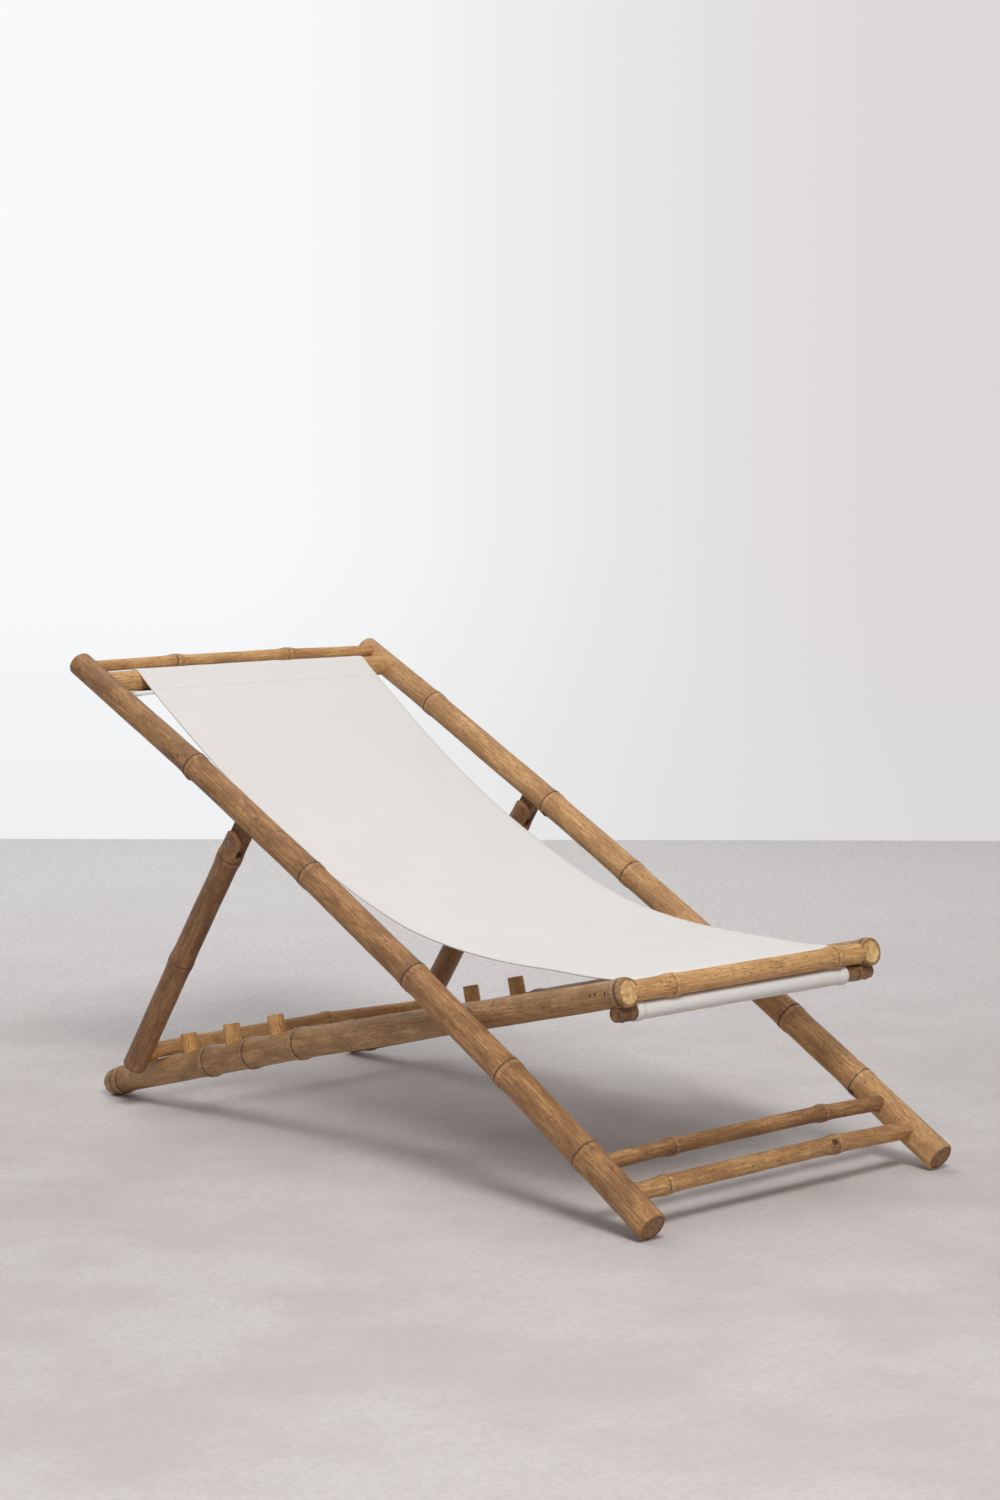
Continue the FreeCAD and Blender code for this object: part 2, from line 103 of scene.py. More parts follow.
class Slot(Enum):
    """The record's material slots."""

    BAMBOO = "bamboo"
    FRONT_BAMBOO = "front_bamboo"
    PEG_WOOD = "peg_wood"
    FIXINGS = "fixings"
    CANVAS = "canvas"


class Value:
    """A node's output, with which sums are written as on plain numbers."""

    def __init__(self, tree: "Tree", socket: bpy.types.NodeSocket) -> None:
        """Keep the output and its tree."""
        self.tree = tree
        self.socket = socket

    def __add__(self, other: "Feed") -> "Value":
        """Both numbers together."""
        return self.tree.math("ADD", self, other)

    def __sub__(self, other: "Feed") -> "Value":
        """This number less another."""
        return self.tree.math("SUBTRACT", self, other)

    def __rsub__(self, other: float) -> "Value":
        """A plain number less this one."""
        return self.tree.math("SUBTRACT", other, self)

    def __mul__(self, other: "Feed") -> "Value":
        """Both numbers multiplied."""
        return self.tree.math("MULTIPLY", self, other)

    def __truediv__(self, other: "Feed") -> "Value":
        """This number over another."""
        return self.tree.math("DIVIDE", self, other)

    def __rtruediv__(self, other: float) -> "Value":
        """A plain number over this one."""
        return self.tree.math("DIVIDE", other, self)

    __radd__ = __add__
    __rmul__ = __mul__


Feed = Value | float | int | str | tuple | Vector | bpy.types.Material
Feeds = dict[str | int, Feed]


class Tree:
    """A node tree with short calls for its nodes and links."""

    def __init__(self, tree: bpy.types.NodeTree, inputs: dict[str, object] | None = None) -> None:
        """Keep the tree, and give it named inputs where it is a group.

        Args:
            tree: the tree that the calls work on.
            inputs: first value of each input, or its type where it starts empty.
        """
        self.tree = tree
        if not inputs:
            return
        for label, value in inputs.items():
            kind = value if isinstance(value, type) else type(value)
            made = tree.interface.new_socket(label, in_out="INPUT", socket_type=SOCKETS[kind])
            if value is not kind:
                made.default_value = value
        entry = tree.nodes.new("NodeGroupInput")
        self.given = {socket.name: Value(self, socket) for socket in entry.outputs if socket.name}

    def __getitem__(self, name: str) -> Value:
        """One of the group's own inputs."""
        return self.given[name]

    def leave(self, kind: type, **results: Value) -> bpy.types.NodeTree:
        """End the group with its outputs.

        Args:
            kind: the type of all of them.
            results: what goes into each, by its name.

        Returns:
            The finished tree.
        """
        for name in results:
            self.tree.interface.new_socket(name, in_out="OUTPUT", socket_type=SOCKETS[kind])
        end = self.tree.nodes.new("NodeGroupOutput")
        for name, value in results.items():
            self.feed(end.inputs[name], value)
        return self.tree

    def feed(self, socket: bpy.types.NodeSocket, value: Feed) -> None:
        """Link an input to an output, or set its own value.

        Args:
            socket: the input to feed.
            value: an output, or a plain value.
        """
        if isinstance(value, Value):
            self.tree.links.new(value.socket, socket)
        else:
            socket.default_value = value

    def node(self, kind: str, feeds: Feeds | None = None, **settings: object) -> bpy.types.Node:
        """Add a node.

        Args:
            kind: the node's type.
            feeds: what goes into its inputs, by name or number.
            settings: the node's own properties.

        Returns:
            The new node.
        """
        made = self.tree.nodes.new(kind)
        for name, setting in settings.items():
            setattr(made, name, setting)
        for name, value in (feeds or {}).items():
            self.feed(made.inputs[name], value)
        return made

    def out(self, kind: str, feeds: Feeds | None = None, output: str | int = 0, **settings: object) -> Value:
        """Add a node and take one of its outputs."""
        return Value(self, self.node(kind, feeds, **settings).outputs[output])

    def math(self, operation: str, *values: Feed, clamp: bool = False) -> Value:
        """A sum on numbers, kept between 0 and 1 where that is asked for."""
        return self.out("ShaderNodeMath", dict(enumerate(values)), operation=operation, use_clamp=clamp)

    def share(self, part: Feed, whole: Feed) -> Value:
        """One number over another, kept between 0 and 1."""
        return self.math("DIVIDE", part, whole, clamp=True)

    def vector(self, operation: str, *values: Feed) -> Value:
        """A sum on vectors, a number where the sum gives one."""
        output = "Value" if operation in ("LENGTH", "DOT_PRODUCT") else "Vector"
        return self.out("ShaderNodeVectorMath", dict(enumerate(values)), output, operation=operation)

    def scaled(self, vector: Feed, factor: Feed) -> Value:
        """A vector times a number."""
        return self.out("ShaderNodeVectorMath", {0: vector, 3: factor}, operation="SCALE")

    def xyz(self, x: Feed, y: Feed, z: Feed) -> Value:
        """A vector from its three parts."""
        return self.out("ShaderNodeCombineXYZ", {0: x, 1: y, 2: z})

    def parts(self, vector: Value) -> list[Value]:
        """The three parts of a vector."""
        return [Value(self, output) for output in self.node("ShaderNodeSeparateXYZ", {0: vector}).outputs]

    def hump(self, distance: Value, centre: float, width: float) -> Value:
        """A smooth hump of height 1, which falls to about a third at its width to each side."""
        off = (distance - centre) / width
        return self.math("EXPONENT", off * off * -1.0)

    def blend(self, share: Feed, low: Feed, high: Feed) -> Value:
        """The number between two others at a share."""
        return self.out("ShaderNodeMix", {0: share, 2: low, 3: high}, data_type="FLOAT")

    def tint(self, share: Value, under: Value | Colour, over: Colour) -> Value:
        """A colour laid over another, by the share that shows of it."""
        under = under if isinstance(under, Value) else shade(under)
        return self.out("ShaderNodeMix", {0: share, 6: under, 7: shade(over)}, 2, data_type="RGBA")

    def between(self, value: Value, low: float, high: float) -> Value:
        """How far a value lies from low to high, from 0 to 1, with soft ends."""
        return self.out("ShaderNodeMapRange", {0: value, 1: low, 2: high}, interpolation_type="SMOOTHSTEP")

    def noise(self, place: Value, detail: float = 2.0, roughness: float = 0.5) -> Value:
        """Soft random values at a place, about 0.5 on average."""
        feeds = {"Vector": place, "Scale": 1.0, "Detail": detail, "Roughness": roughness}
        return self.out("ShaderNodeTexNoise", feeds)

    def group(self, tree: bpy.types.NodeTree, feeds: Feeds) -> dict[str, Value]:
        """Use a node group, and give its outputs by name."""
        made = self.node(self.tree.bl_idname.replace("Tree", "Group"), feeds, node_tree=tree)
        return {output.name: Value(self, output) for output in made.outputs}

    def skin(self, name: str, output: str) -> Value:
        """An attribute of the piece, read by its material."""
        return self.out("ShaderNodeAttribute", None, output, attribute_name=name)

    def stored(self, name: str, kind: str) -> Value:
        """An attribute of the mesh, read while it is drawn."""
        return self.out("GeometryNodeInputNamedAttribute", {"Name": name}, "Attribute", data_type=kind)

    def mesh(self, kind: str, mesh: Value, feeds: Feeds | None = None, **settings: object) -> Value:
        """What a geometry node makes of a mesh."""
        return self.out("GeometryNode" + kind, {0: mesh, **(feeds or {})}, **settings)

    def store(self, mesh: Value, name: str, value: Value, kind: str, domain: str = "POINT") -> Value:
        """The mesh with a value kept on it as an attribute."""
        return self.mesh("StoreNamedAttribute", mesh, {"Name": name, "Value": value},
                         data_type=kind, domain=domain)

    def upright(self, facing: Value) -> Value:
        """The turn that lays Z along a direction."""
        return self.out("FunctionNodeAlignRotationToVector", {"Vector": facing}, axis="Z")

    def dressed(self, mesh: Value, material: Value) -> Value:
        """The mesh made real and smooth, with its material."""
        smooth = self.mesh("SetShadeSmooth", self.mesh("RealizeInstances", mesh))
        return self.mesh("SetMaterial", smooth, {"Material": material})


def shade(colour: Colour) -> tuple[float, ...]:
    """A colour made linear, with full opacity."""
    levels = [level / 255.0 for level in colour]
    return (*(part / 12.92 if part <= 0.04045 else ((part + 0.055) / 1.055) ** 2.4 for part in levels), 1.0)


def new_group(name: str, kind: str, inputs: dict[str, object]) -> Tree:
    """Start a node group with named inputs."""
    return Tree(bpy.data.node_groups.new(name, kind), inputs)


@dataclass(frozen=True)
class RingShape:
    """Outline of one bamboo ring, read across it: the height, place and width of each of its humps."""

    swell: tuple[float, float, float] = (0.0017, 0.0010, 0.012)
    lip: tuple[float, float, float] = (0.0005, -0.0012, 0.0010)
    groove: tuple[float, float, float] = (-0.0009, 0.0002, 0.0009)
    ridge: tuple[float, float, float] = (0.0004, 0.0075, 0.0030)

    def build(self) -> bpy.types.NodeTree:
        """Make the group: height over the cane at a distance from the ring."""
        tree = new_group("ring_shape", "GeometryNodeTree", {"Distance": 0.0})
        humps = (self.swell, self.lip, self.groove, self.ridge)
        return tree.leave(float, Height=sum(
            tree.hump(tree["Distance"], place, width) * height for height, place, width in humps))


class CaneTree:
    """Geometry Nodes tree that draws a cane: thickness, bow, rings, rounded ends and grain coordinates."""

    def __init__(self) -> None:
        """Build the tree once for all canes."""
        self.ring_shape = RingShape().build()
        self.ring_names = ["Ring %d" % (number + 1) for number in range(MOST_RINGS)]
        self.work = new_group("cane", "GeometryNodeTree", {
            "Start": (0.0, 0.0, 0.0), "End": (0.0, 0.0, 0.0), "Up": (0.0, 0.0, 1.0), "Bow": 0.0,
            "First Radius": 0.02, "Middle Radius": 0.02, "Last Radius": 0.02, "Middle From": 0.5,
            "Middle To": 0.5, **dict.fromkeys(self.ring_names, NO_RING), "Ring Height": 1.0,
            "Crookedness": 0.0006, "Seed": 0.0, "Row Spacing": 0.0015, "Edge Round": 0.0015,
            "First Dish": 0.0, "Last Dish": 0.0, "Surface": bpy.types.Material,
            "Cut End": bpy.types.Material})
        self.tree = self.work.leave(bpy.types.Mesh, Mesh=self.draw())

    def rows(self) -> tuple[Value, Value, Value, Value, Value]:
        """The grid that is bent into the cane, and where each of its points lies.

        Returns:
            The grid, the angle round the cane, the distance along it, how far out on an end cap
            the point lies, and how much the rounded edge takes off the radius there.
        """
        work = self.work
        ends = float(CAP_ROWS + EDGE_ROWS)
        self.length = work.vector("LENGTH", work.vector("SUBTRACT", work["End"], work["Start"]))
        count = work.math("ROUND", self.length / work["Row Spacing"]) + 2.0 * ends
        grid = work.out("GeometryNodeMeshGrid", {
            "Size X": 1.0, "Size Y": 1.0, "Vertices X": count + 1.0, "Vertices Y": AROUND + 1})
        x, y, _ = work.parts(work.out("GeometryNodeInputPosition"))
        row = work.math("ROUND", (x + 0.5) * count)
        edge = work["Edge Round"]
        caps, taken, along, dishes = [], [], [], []
        for off, depth, sign in ((row, "First Dish", 1.0), (count - row, "Last Dish", -1.0)):
            cap = work.share(off, float(CAP_ROWS))
            quarter = work.share(off - float(CAP_ROWS), float(EDGE_ROWS)) * (math.pi / 2)
            caps.append(cap)
            taken.append(1.0 - work.math("SINE", quarter))
            along.append(work.math("COSINE", quarter))
            dishes.append((1.0 - work.math("POWER", cap, 4.0)) * work[depth] * sign)
        body = work.share(row - ends, count - 2.0 * ends)
        distance = (1.0 - along[0]) * edge + body * (self.length - edge * 2.0) + along[1] * edge
        distance = distance + (dishes[0] + dishes[1])
        return grid, (y + 0.5) * (2 * math.pi), distance, caps[0] * caps[1], (taken[0] + taken[1]) * edge

    def thickness(self, distance: Value) -> Value:
        """The cane's own radius at a distance, before its rings.

        Args:
            distance: where it is read.

        Returns:
            The radius there.
        """
        work = self.work
        rest = work.math("MAXIMUM", self.length - work["Middle To"], 1e-4)
        growing = work.share(distance, work["Middle From"])
        thinning = work.share(distance - work["Middle To"], rest)
        first = work.blend(growing, work["First Radius"], work["Middle Radius"])
        return work.blend(thinning, first, work["Last Radius"])

    def rings(self, distance: Value) -> tuple[Value, Value, Value]:
        """The rings along the cane, and its bow, which bends only at the rings.

        Args:
            distance: where they are read.

        Returns:
            The height of the rings, the distance to the nearest one, and the bow's height.
        """
        work = self.work
        marks = [work[name] for name in self.ring_names]
        stops = [0.0] + [work.math("MINIMUM", mark, self.length) for mark in marks] + [self.length]
        steep = work["Bow"] * 4.0 / self.length
        bow = steep * (1.0 - stops[1] / self.length) * distance
        height, nearest = 0.0, NO_RING
        for mark, before, here, after in zip(marks, stops, stops[1:], stops[2:]):
            off = distance - mark
            height = height + work.group(self.ring_shape, {"Distance": off})["Height"]
            closer = work.math("LESS_THAN", work.math("ABSOLUTE", off), work.math("ABSOLUTE", nearest))
            nearest = work.blend(closer, nearest, off)
            kink = (after - before) / self.length
            bow = bow - kink * steep * work.math("MAXIMUM", distance - here, 0.0)
        return height * work["Ring Height"], nearest, bow

    def wander(self, distance: Value, shift: float) -> Value:
        """How far a cane strays sideways from its line, nothing at its ends.

        Args:
            distance: where it is read.
            shift: where in the random values it starts.

        Returns:
            How far it strays there.
        """
        work = self.work
        place = distance * 6.0 + (work["Seed"] * 7.31 + shift)
        chance = work.out("ShaderNodeTexNoise", {"W": place, "Scale": 1.0, "Detail": 1.0},
                          noise_dimensions="1D")
        held = work.math("SINE", distance / self.length * math.pi)
        return (chance - 0.5) * 2.0 * held * work["Crookedness"]

    def draw(self) -> Value:
        """Bend the grid into the cane and dress it.

        Returns:
            The finished mesh.
        """
        work = self.work
        mesh, turn, distance, out, trimmed = self.rows()
        ring_height, nearest, bow = self.rings(distance)
        along = work.vector("NORMALIZE", work.vector("SUBTRACT", work["End"], work["Start"]))
        across = work.vector("NORMALIZE", work.vector("CROSS_PRODUCT", along, work["Up"]))
        upward = work.vector("CROSS_PRODUCT", across, along)
        cosine, sine = work.math("COSINE", turn), work.math("SINE", turn)

        seed = work["Seed"] * 3.7
        uneven = (work.noise(work.xyz(cosine, sine, distance * 14.0 + seed)) - 0.5) * 0.0011
        radius = (self.thickness(distance) + ring_height + uneven - trimmed) * out
        outward = work.vector("ADD", work.scaled(across, cosine), work.scaled(upward, sine))
        point = work["Start"]
        for way, far in ((along, distance), (upward, bow + self.wander(distance, 0.0)),
                         (across, self.wander(distance, 40.0)), (outward, radius)):
            point = work.vector("ADD", point, work.scaled(way, far))

        grain = work.xyz(cosine * radius, sine * radius, distance + seed)
        for name, value, kind in (("grain", grain, "FLOAT_VECTOR"), ("ring", nearest, "FLOAT"),
                                  ("cap", out, "FLOAT")):
            mesh = work.store(mesh, name, value, kind)
        placed = work.mesh("SetPosition", mesh, {"Position": point})
        closed = work.mesh("MergeByDistance", placed, {"Distance": 1e-5})
        sawn = work.math("LESS_THAN", work.stored("cap", "FLOAT"), 0.97)
        return work.mesh("SetMaterial", work.dressed(closed, work["Surface"]), {
            "Selection": sawn, "Material": work["Cut End"]})


def put(name: str, data: bpy.types.ID) -> bpy.types.Object:
    """Put a new object in the scene.

    Args:
        name: its name.
        data: the mesh, lamp or camera that it shows.

    Returns:
        The object, at the origin.
    """
    made = bpy.data.objects.new(name, data)
    bpy.context.scene.collection.objects.link(made)
    return made


def evaluated(piece: bpy.types.Object) -> bpy.types.Mesh:
    """What a piece's modifiers make of it.

    Args:
        piece: the piece.

    Returns:
        Its finished mesh as plain data.
    """
    piece.update_tag()
    bpy.context.view_layer.update()
    graph = bpy.context.evaluated_depsgraph_get()
    return bpy.data.meshes.new_from_object(piece.evaluated_get(graph), depsgraph=graph)


def finished_mesh(name: str, tree: bpy.types.NodeTree, feeds: dict[str, object],
                  base: bpy.types.Mesh | None = None) -> bpy.types.Object:
    """Run a Geometry Nodes tree and keep its result as a plain mesh object.

    Args:
        name: the piece's name.
        tree: the tree to run.
        feeds: values of the tree's inputs, by name.
        base: the mesh that the tree starts from, where it needs one.

    Returns:
        The finished object, at the origin, with no modifier left on it.
    """
    carrier = put(name + "_nodes", base or bpy.data.meshes.new(name + "_nodes"))
    modifier = carrier.modifiers.new("nodes", "NODES")
    modifier.node_group = tree
    for item in tree.interface.items_tree:
        if item.item_type == "SOCKET" and item.in_out == "INPUT" and item.name in feeds:
            value = feeds[item.name]
            modifier[item.identifier] = tuple(value) if isinstance(value, Vector) else value
    mesh = evaluated(carrier)
    bpy.data.objects.remove(carrier)
    drop_empty_slot(mesh)
    mesh.name = name
    return put(name, mesh)


def drop_empty_slot(mesh: bpy.types.Mesh) -> None:
    """Take away the empty material slot that a tree leaves in front of its own.

    Args:
        mesh: the finished mesh.
    """
    if mesh.materials and mesh.materials[0] is None:
        numbers = [0] * len(mesh.polygons)
        mesh.polygons.foreach_get("material_index", numbers)
        mesh.materials.pop(index=0)
        mesh.polygons.foreach_set("material_index", [max(number - 1, 0) for number in numbers])


def cane_grain_group() -> bpy.types.NodeTree:
    """Node group for the skin of a cane.

    Returns:
        A group that gives streaks, mottle, soft patches, dark dashes, what belongs to a ring
        and the relief, all from 0 to 1.
    """
    tree = new_group("cane_grain", "ShaderNodeTree", {
        "Streak Count": 420.0, "Patch Size": 0.024, "Scar Width": 0.0011, "Stain Reach": 0.028})
    grain = tree.skin("grain", "Vector")
    ring = tree.skin("ring", "Fac")

    def stretched(across: Feed, along: Feed, detail: float, roughness: float = 0.6) -> Value:
        """Noise with one scale across the fibres and another along them."""
        return tree.noise(tree.vector("MULTIPLY", grain, tree.xyz(across, across, along)), detail, roughness)

    patch = 1.0 / tree["Patch Size"]
    streaks = tree.between(stretched(tree["Streak Count"], 9.0, 5.0, 0.72), 0.40, 0.62)
    mottle = tree.between(stretched(260.0, 45.0, 4.0, 0.74), 0.42, 0.62)
    patches = tree.between(stretched(patch, patch * 0.35, 5.0, 0.62), 0.44, 0.60)
    dashes = tree.between(stretched(520.0, 150.0, 3.0), 0.58, 0.66)
    broken = tree.between(stretched(55.0, 55.0, 3.0), 0.36, 0.52)
    off = ring + (stretched(60.0, 60.0, 2.0) - 0.5) * 0.0030
    first_line = tree.hump(off / tree["Scar Width"], 0.0, 1.0) * (broken * 0.4 + 0.6)
    second_line = tree.hump(off, 0.0090, 0.0009) * (broken * 0.35)
    scar = tree.math("MAXIMUM", first_line, second_line)
    band = tree.hump(off, 0.0045, 0.0050) * tree.between(mottle, 1.2, 0.0)
    near = 1.0 - tree.between(tree.math("ABSOLUTE", ring) / tree["Stain Reach"], 0.1, 1.0)
    stain = near * tree.between(stretched(60.0, 30.0, 4.0), 0.42, 0.60)
    relief = streaks * 0.4 + stretched(1100.0, 90.0, 2.0) * 0.5 - dashes * 0.4 - scar * 0.8
    return tree.leave(float, Streaks=streaks, Mottle=mottle, Patches=patches, Dashes=dashes, Scar=scar,
                      Band=band, Stain=stain, Relief=relief)


def weave_group() -> bpy.types.NodeTree:
    """Node group for plain-woven canvas, read from the cloth's own flat measure in metres.

    Returns:
        A group that gives the weave's height and its soft slubs, both from 0 to 1.
    """
    tree = new_group("canvas_weave", "ShaderNodeTree", {"Flat": (0.0, 0.0, 0.0), "Thread Pitch": 0.0008})
    u, v, _ = tree.parts(tree["Flat"])
    turns = math.pi / tree["Thread Pitch"]
    weave = (tree.math("SINE", u * turns) * tree.math("SINE", v * turns) + 1.0) * 0.5
    along, across = (tree.noise(tree.vector("MULTIPLY", tree["Flat"], scale))
                     for scale in ((900.0, 22.0, 1.0), (22.0, 900.0, 1.0)))
    return tree.leave(float, Weave=weave, Slubs=(along + across) * 0.5)


Surface = tuple[Value, Feed, tuple[Value, float, float] | None]


@dataclass(frozen=True)
class Finish:
    """A material with one Principled shader. Each kind of finish works out what its surface is like."""

    name: str
    fixed: ClassVar[dict[str, float]] = {}

    def build(self) -> bpy.types.Material:
        """Make the material.

        Returns:
            The material.
        """
        material = bpy.data.materials.new(self.name)
        material.use_nodes = True
        shader = material.node_tree.nodes["Principled BSDF"]
        tree = Tree(material.node_tree)
        colour, roughness, relief = self.surface(tree)
        tree.feed(shader.inputs["Base Color"], colour)
        tree.feed(shader.inputs["Roughness"], roughness)
        if relief:
            bump = tree.out("ShaderNodeBump", dict(zip(("Height", "Distance", "Strength"), relief)))
            tree.feed(shader.inputs["Normal"], bump)
        for name, value in self.fixed.items():
            shader.inputs[name].default_value = value
        self.cover(tree, shader, colour)
        return material

    def surface(self, tree: Tree) -> Surface:
        """What the surface is like.

        Args:
            tree: the material's tree.

        Returns:
            Its colour, its roughness, and its relief with the relief's depth and strength.
        """
        raise NotImplementedError

    def cover(self, tree: Tree, shader: bpy.types.Node, colour: Value) -> None:
        """Lay anything further over the shader, which most finishes don't."""


@dataclass(frozen=True)
class BambooFinish(Finish):
    """The skin of a cane, scorched golden brown under a thin satin oil."""

    grain: bpy.types.NodeTree
    base: Colour = (168, 119, 70)
    pale: Colour = (208, 157, 100)
    ruddy: Colour = (118, 76, 42)
    dark: Colour = (66, 42, 26)
    patch_share: float = 0.55
    mottle_share: float = 0.45
    scar_width: float = 0.0011
    fixed: ClassVar[dict[str, float]] = {"Coat Weight": 0.06, "Coat Roughness": 0.35}

    def surface(self, tree: Tree) -> Surface:
        """Streaks, then stains, then what is darkest.

        Args:
            tree: the material's tree.

        Returns:
            Its colour, roughness and relief.
        """
        grain = tree.group(self.grain, {"Scar Width": self.scar_width})
        colour = tree.tint(grain["Streaks"] * 0.9, self.base, self.pale)
        for mask, share, over in (
                ("Patches", self.patch_share, self.ruddy), ("Mottle", self.mottle_share, self.ruddy),
                ("Stain", 0.5, self.ruddy), ("Band", 0.45, self.pale),
                ("Dashes", 0.6, self.dark), ("Scar", 0.95, self.dark)):
            colour = tree.tint(grain[mask] * share, colour, over)
        return colour, tree.blend(grain["Streaks"], 0.40, 0.62), (grain["Relief"], 0.0011, 0.8)


@dataclass(frozen=True)
class CutEndFinish(Finish):
    """The sawn end of a cane: pale, with the dots of its fibre bundles and a dark rim."""

    pale: Colour
    deep: Colour
    rim: Colour = (104, 70, 42)

    def surface(self, tree: Tree) -> Surface:
        """Clouds and dots, darker towards the rim.

        Args:
            tree: the material's tree.

        Returns:
            Its colour, roughness and relief.
        """
        grain = tree.skin("grain", "Vector")
        cells = tree.out("ShaderNodeTexVoronoi", {"Vector": grain, "Scale": 900.0}, "Distance")
        dots = 1.0 - tree.between(cells, 0.1, 0.45)
        clouds = tree.noise(tree.scaled(grain, 160.0), 3.0)
        colour = tree.tint(tree.between(clouds, 0.35, 0.7), self.pale, self.deep)
        colour = tree.tint(dots * 0.45, colour, self.deep)
        rim = tree.between(tree.skin("cap", "Fac") + clouds * 0.12, 0.86, 1.02)
        return tree.tint(rim * 0.75, colour, self.rim), tree.blend(dots, 0.7, 0.85), (dots, 0.0003, 0.5)


@dataclass(frozen=True)
class WoodFinish(Finish):
    """Bare fibres. They run along the cane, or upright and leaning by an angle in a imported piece."""

    pale: Colour
    deep: Colour
    scale: tuple[float, float, float]
    roughness: tuple[float, float]
    depth: float
    strength: float
    lean: float | None = None

    def surface(self, tree: Tree) -> Surface:
        """Lines along the fibres.

        Args:
            tree: the material's tree.

        Returns:
            Its colour, roughness and relief.
        """
        if self.lean is None:
            place = tree.vector("MULTIPLY", tree.skin("grain", "Vector"), self.scale)
        else:
            place = tree.out("ShaderNodeMapping", {
                "Vector": tree.out("ShaderNodeTexCoord", None, "Object"),
                "Rotation": (math.radians(self.lean), 0.0, 0.0), "Scale": self.scale})
        lines = tree.noise(place, 4.0, 0.6)
        colour = tree.tint(tree.between(lines, 0.35, 0.68), self.deep, self.pale)
        return colour, tree.blend(lines, *self.roughness), (lines, self.depth, self.strength)


@dataclass(frozen=True)
class SteelFinish(Finish):
    """Fixings of plain steel, dulled in use."""

    bright: Colour = (176, 170, 162)
    dull: Colour = (112, 100, 88)
    fixed: ClassVar[dict[str, float]] = {"Metallic": 0.9}

    def surface(self, tree: Tree) -> Surface:
        """Dull clouds.

        Args:
            tree: the material's tree.

        Returns:
            Its colour, roughness and relief.
        """
        place = tree.out("ShaderNodeTexCoord", None, "Object")
        clouds = tree.between(tree.noise(tree.scaled(place, 700.0), 3.0), 0.35, 0.7)
        return tree.tint(clouds, self.bright, self.dull), tree.blend(clouds, 0.3, 0.55), (clouds, 0.0001, 0.3)


@dataclass(frozen=True)
class PlainFinish(Finish):
    """A dull surface in two close colours, for thread, knots, and the painted shade of old nail holes."""

    base: Colour
    deep: Colour

    def surface(self, tree: Tree) -> Surface:
        """Two colours in a fine twist."""
        place = tree.out("ShaderNodeTexCoord", None, "Object")
        return tree.tint(tree.noise(tree.scaled(place, 2500.0), 1.0), self.base, self.deep), 0.8, None


@dataclass(frozen=True)
class CanvasFinish(Finish):
    """Undyed cotton canvas in a plain weave."""

    base: Colour = (230, 225, 220)
    shadow: Colour = (212, 206, 199)
    fixed: ClassVar[dict[str, float]] = {"Sheen Weight": 0.12, "Specular IOR Level": 0.25}

    def surface(self, tree: Tree) -> Surface:
        """Slubs and faint clouds over the weave.

        Args:
            tree: the material's tree.

        Returns:
            Its colour, roughness and relief.
        """
        flat = tree.out("ShaderNodeUVMap", None, "UV", uv_map="UVMap")
        cloth = tree.group(weave_group(), {"Flat": flat})
        soft = tree.between(tree.noise(tree.scaled(flat, 9.0)), 0.3, 0.7)
        colour = tree.tint(tree.between(cloth["Slubs"], 0.35, 0.7) * 0.22, self.base, self.shadow)
        colour = tree.tint(soft * 0.12, colour, self.shadow)
        relief = cloth["Weave"] * 0.6 + cloth["Slubs"]
        return colour, tree.blend(cloth["Slubs"], 0.82, 0.95), (relief, 0.0003, 0.35)


@dataclass(frozen=True)
class FloorFinish(Finish):
    """A pale studio floor of trowelled cement, faintly clouded."""

    pale: Colour = (212, 205, 202)
    grey: Colour = (186, 177, 173)
    # painted light: the floor's colour far off, towards the wall
    far: Colour = (250, 247, 245)

    def surface(self, tree: Tree) -> Surface:
        """Clouds and trowel marks, paler far off.

        Args:
            tree: the material's tree.

        Returns:
            Clouds and trowel marks, with painted light that makes it paler far off.
        """
        place = tree.out("ShaderNodeTexCoord", None, "Object")
        clouds = tree.between(tree.noise(tree.scaled(place, 3.4), 7.0, 0.62), 0.36, 0.64)
        marks = tree.noise(tree.vector("MULTIPLY", place, (130.0, 80.0, 1.0)), 5.0, 0.75)
        away = tree.vector("DOT_PRODUCT", place, (0.686, 0.727, 0.0))
        colour = tree.tint(clouds * 0.55, self.pale, self.grey)
        # painted light: paler far off, towards the wall
        colour = tree.tint(tree.between(away, -0.6, 3.0) * 0.9, colour, self.far)
        colour = tree.tint(tree.between(marks, 0.42, 0.60) * 0.35, colour, self.grey)
        return colour, tree.blend(clouds, 0.6, 0.75), None


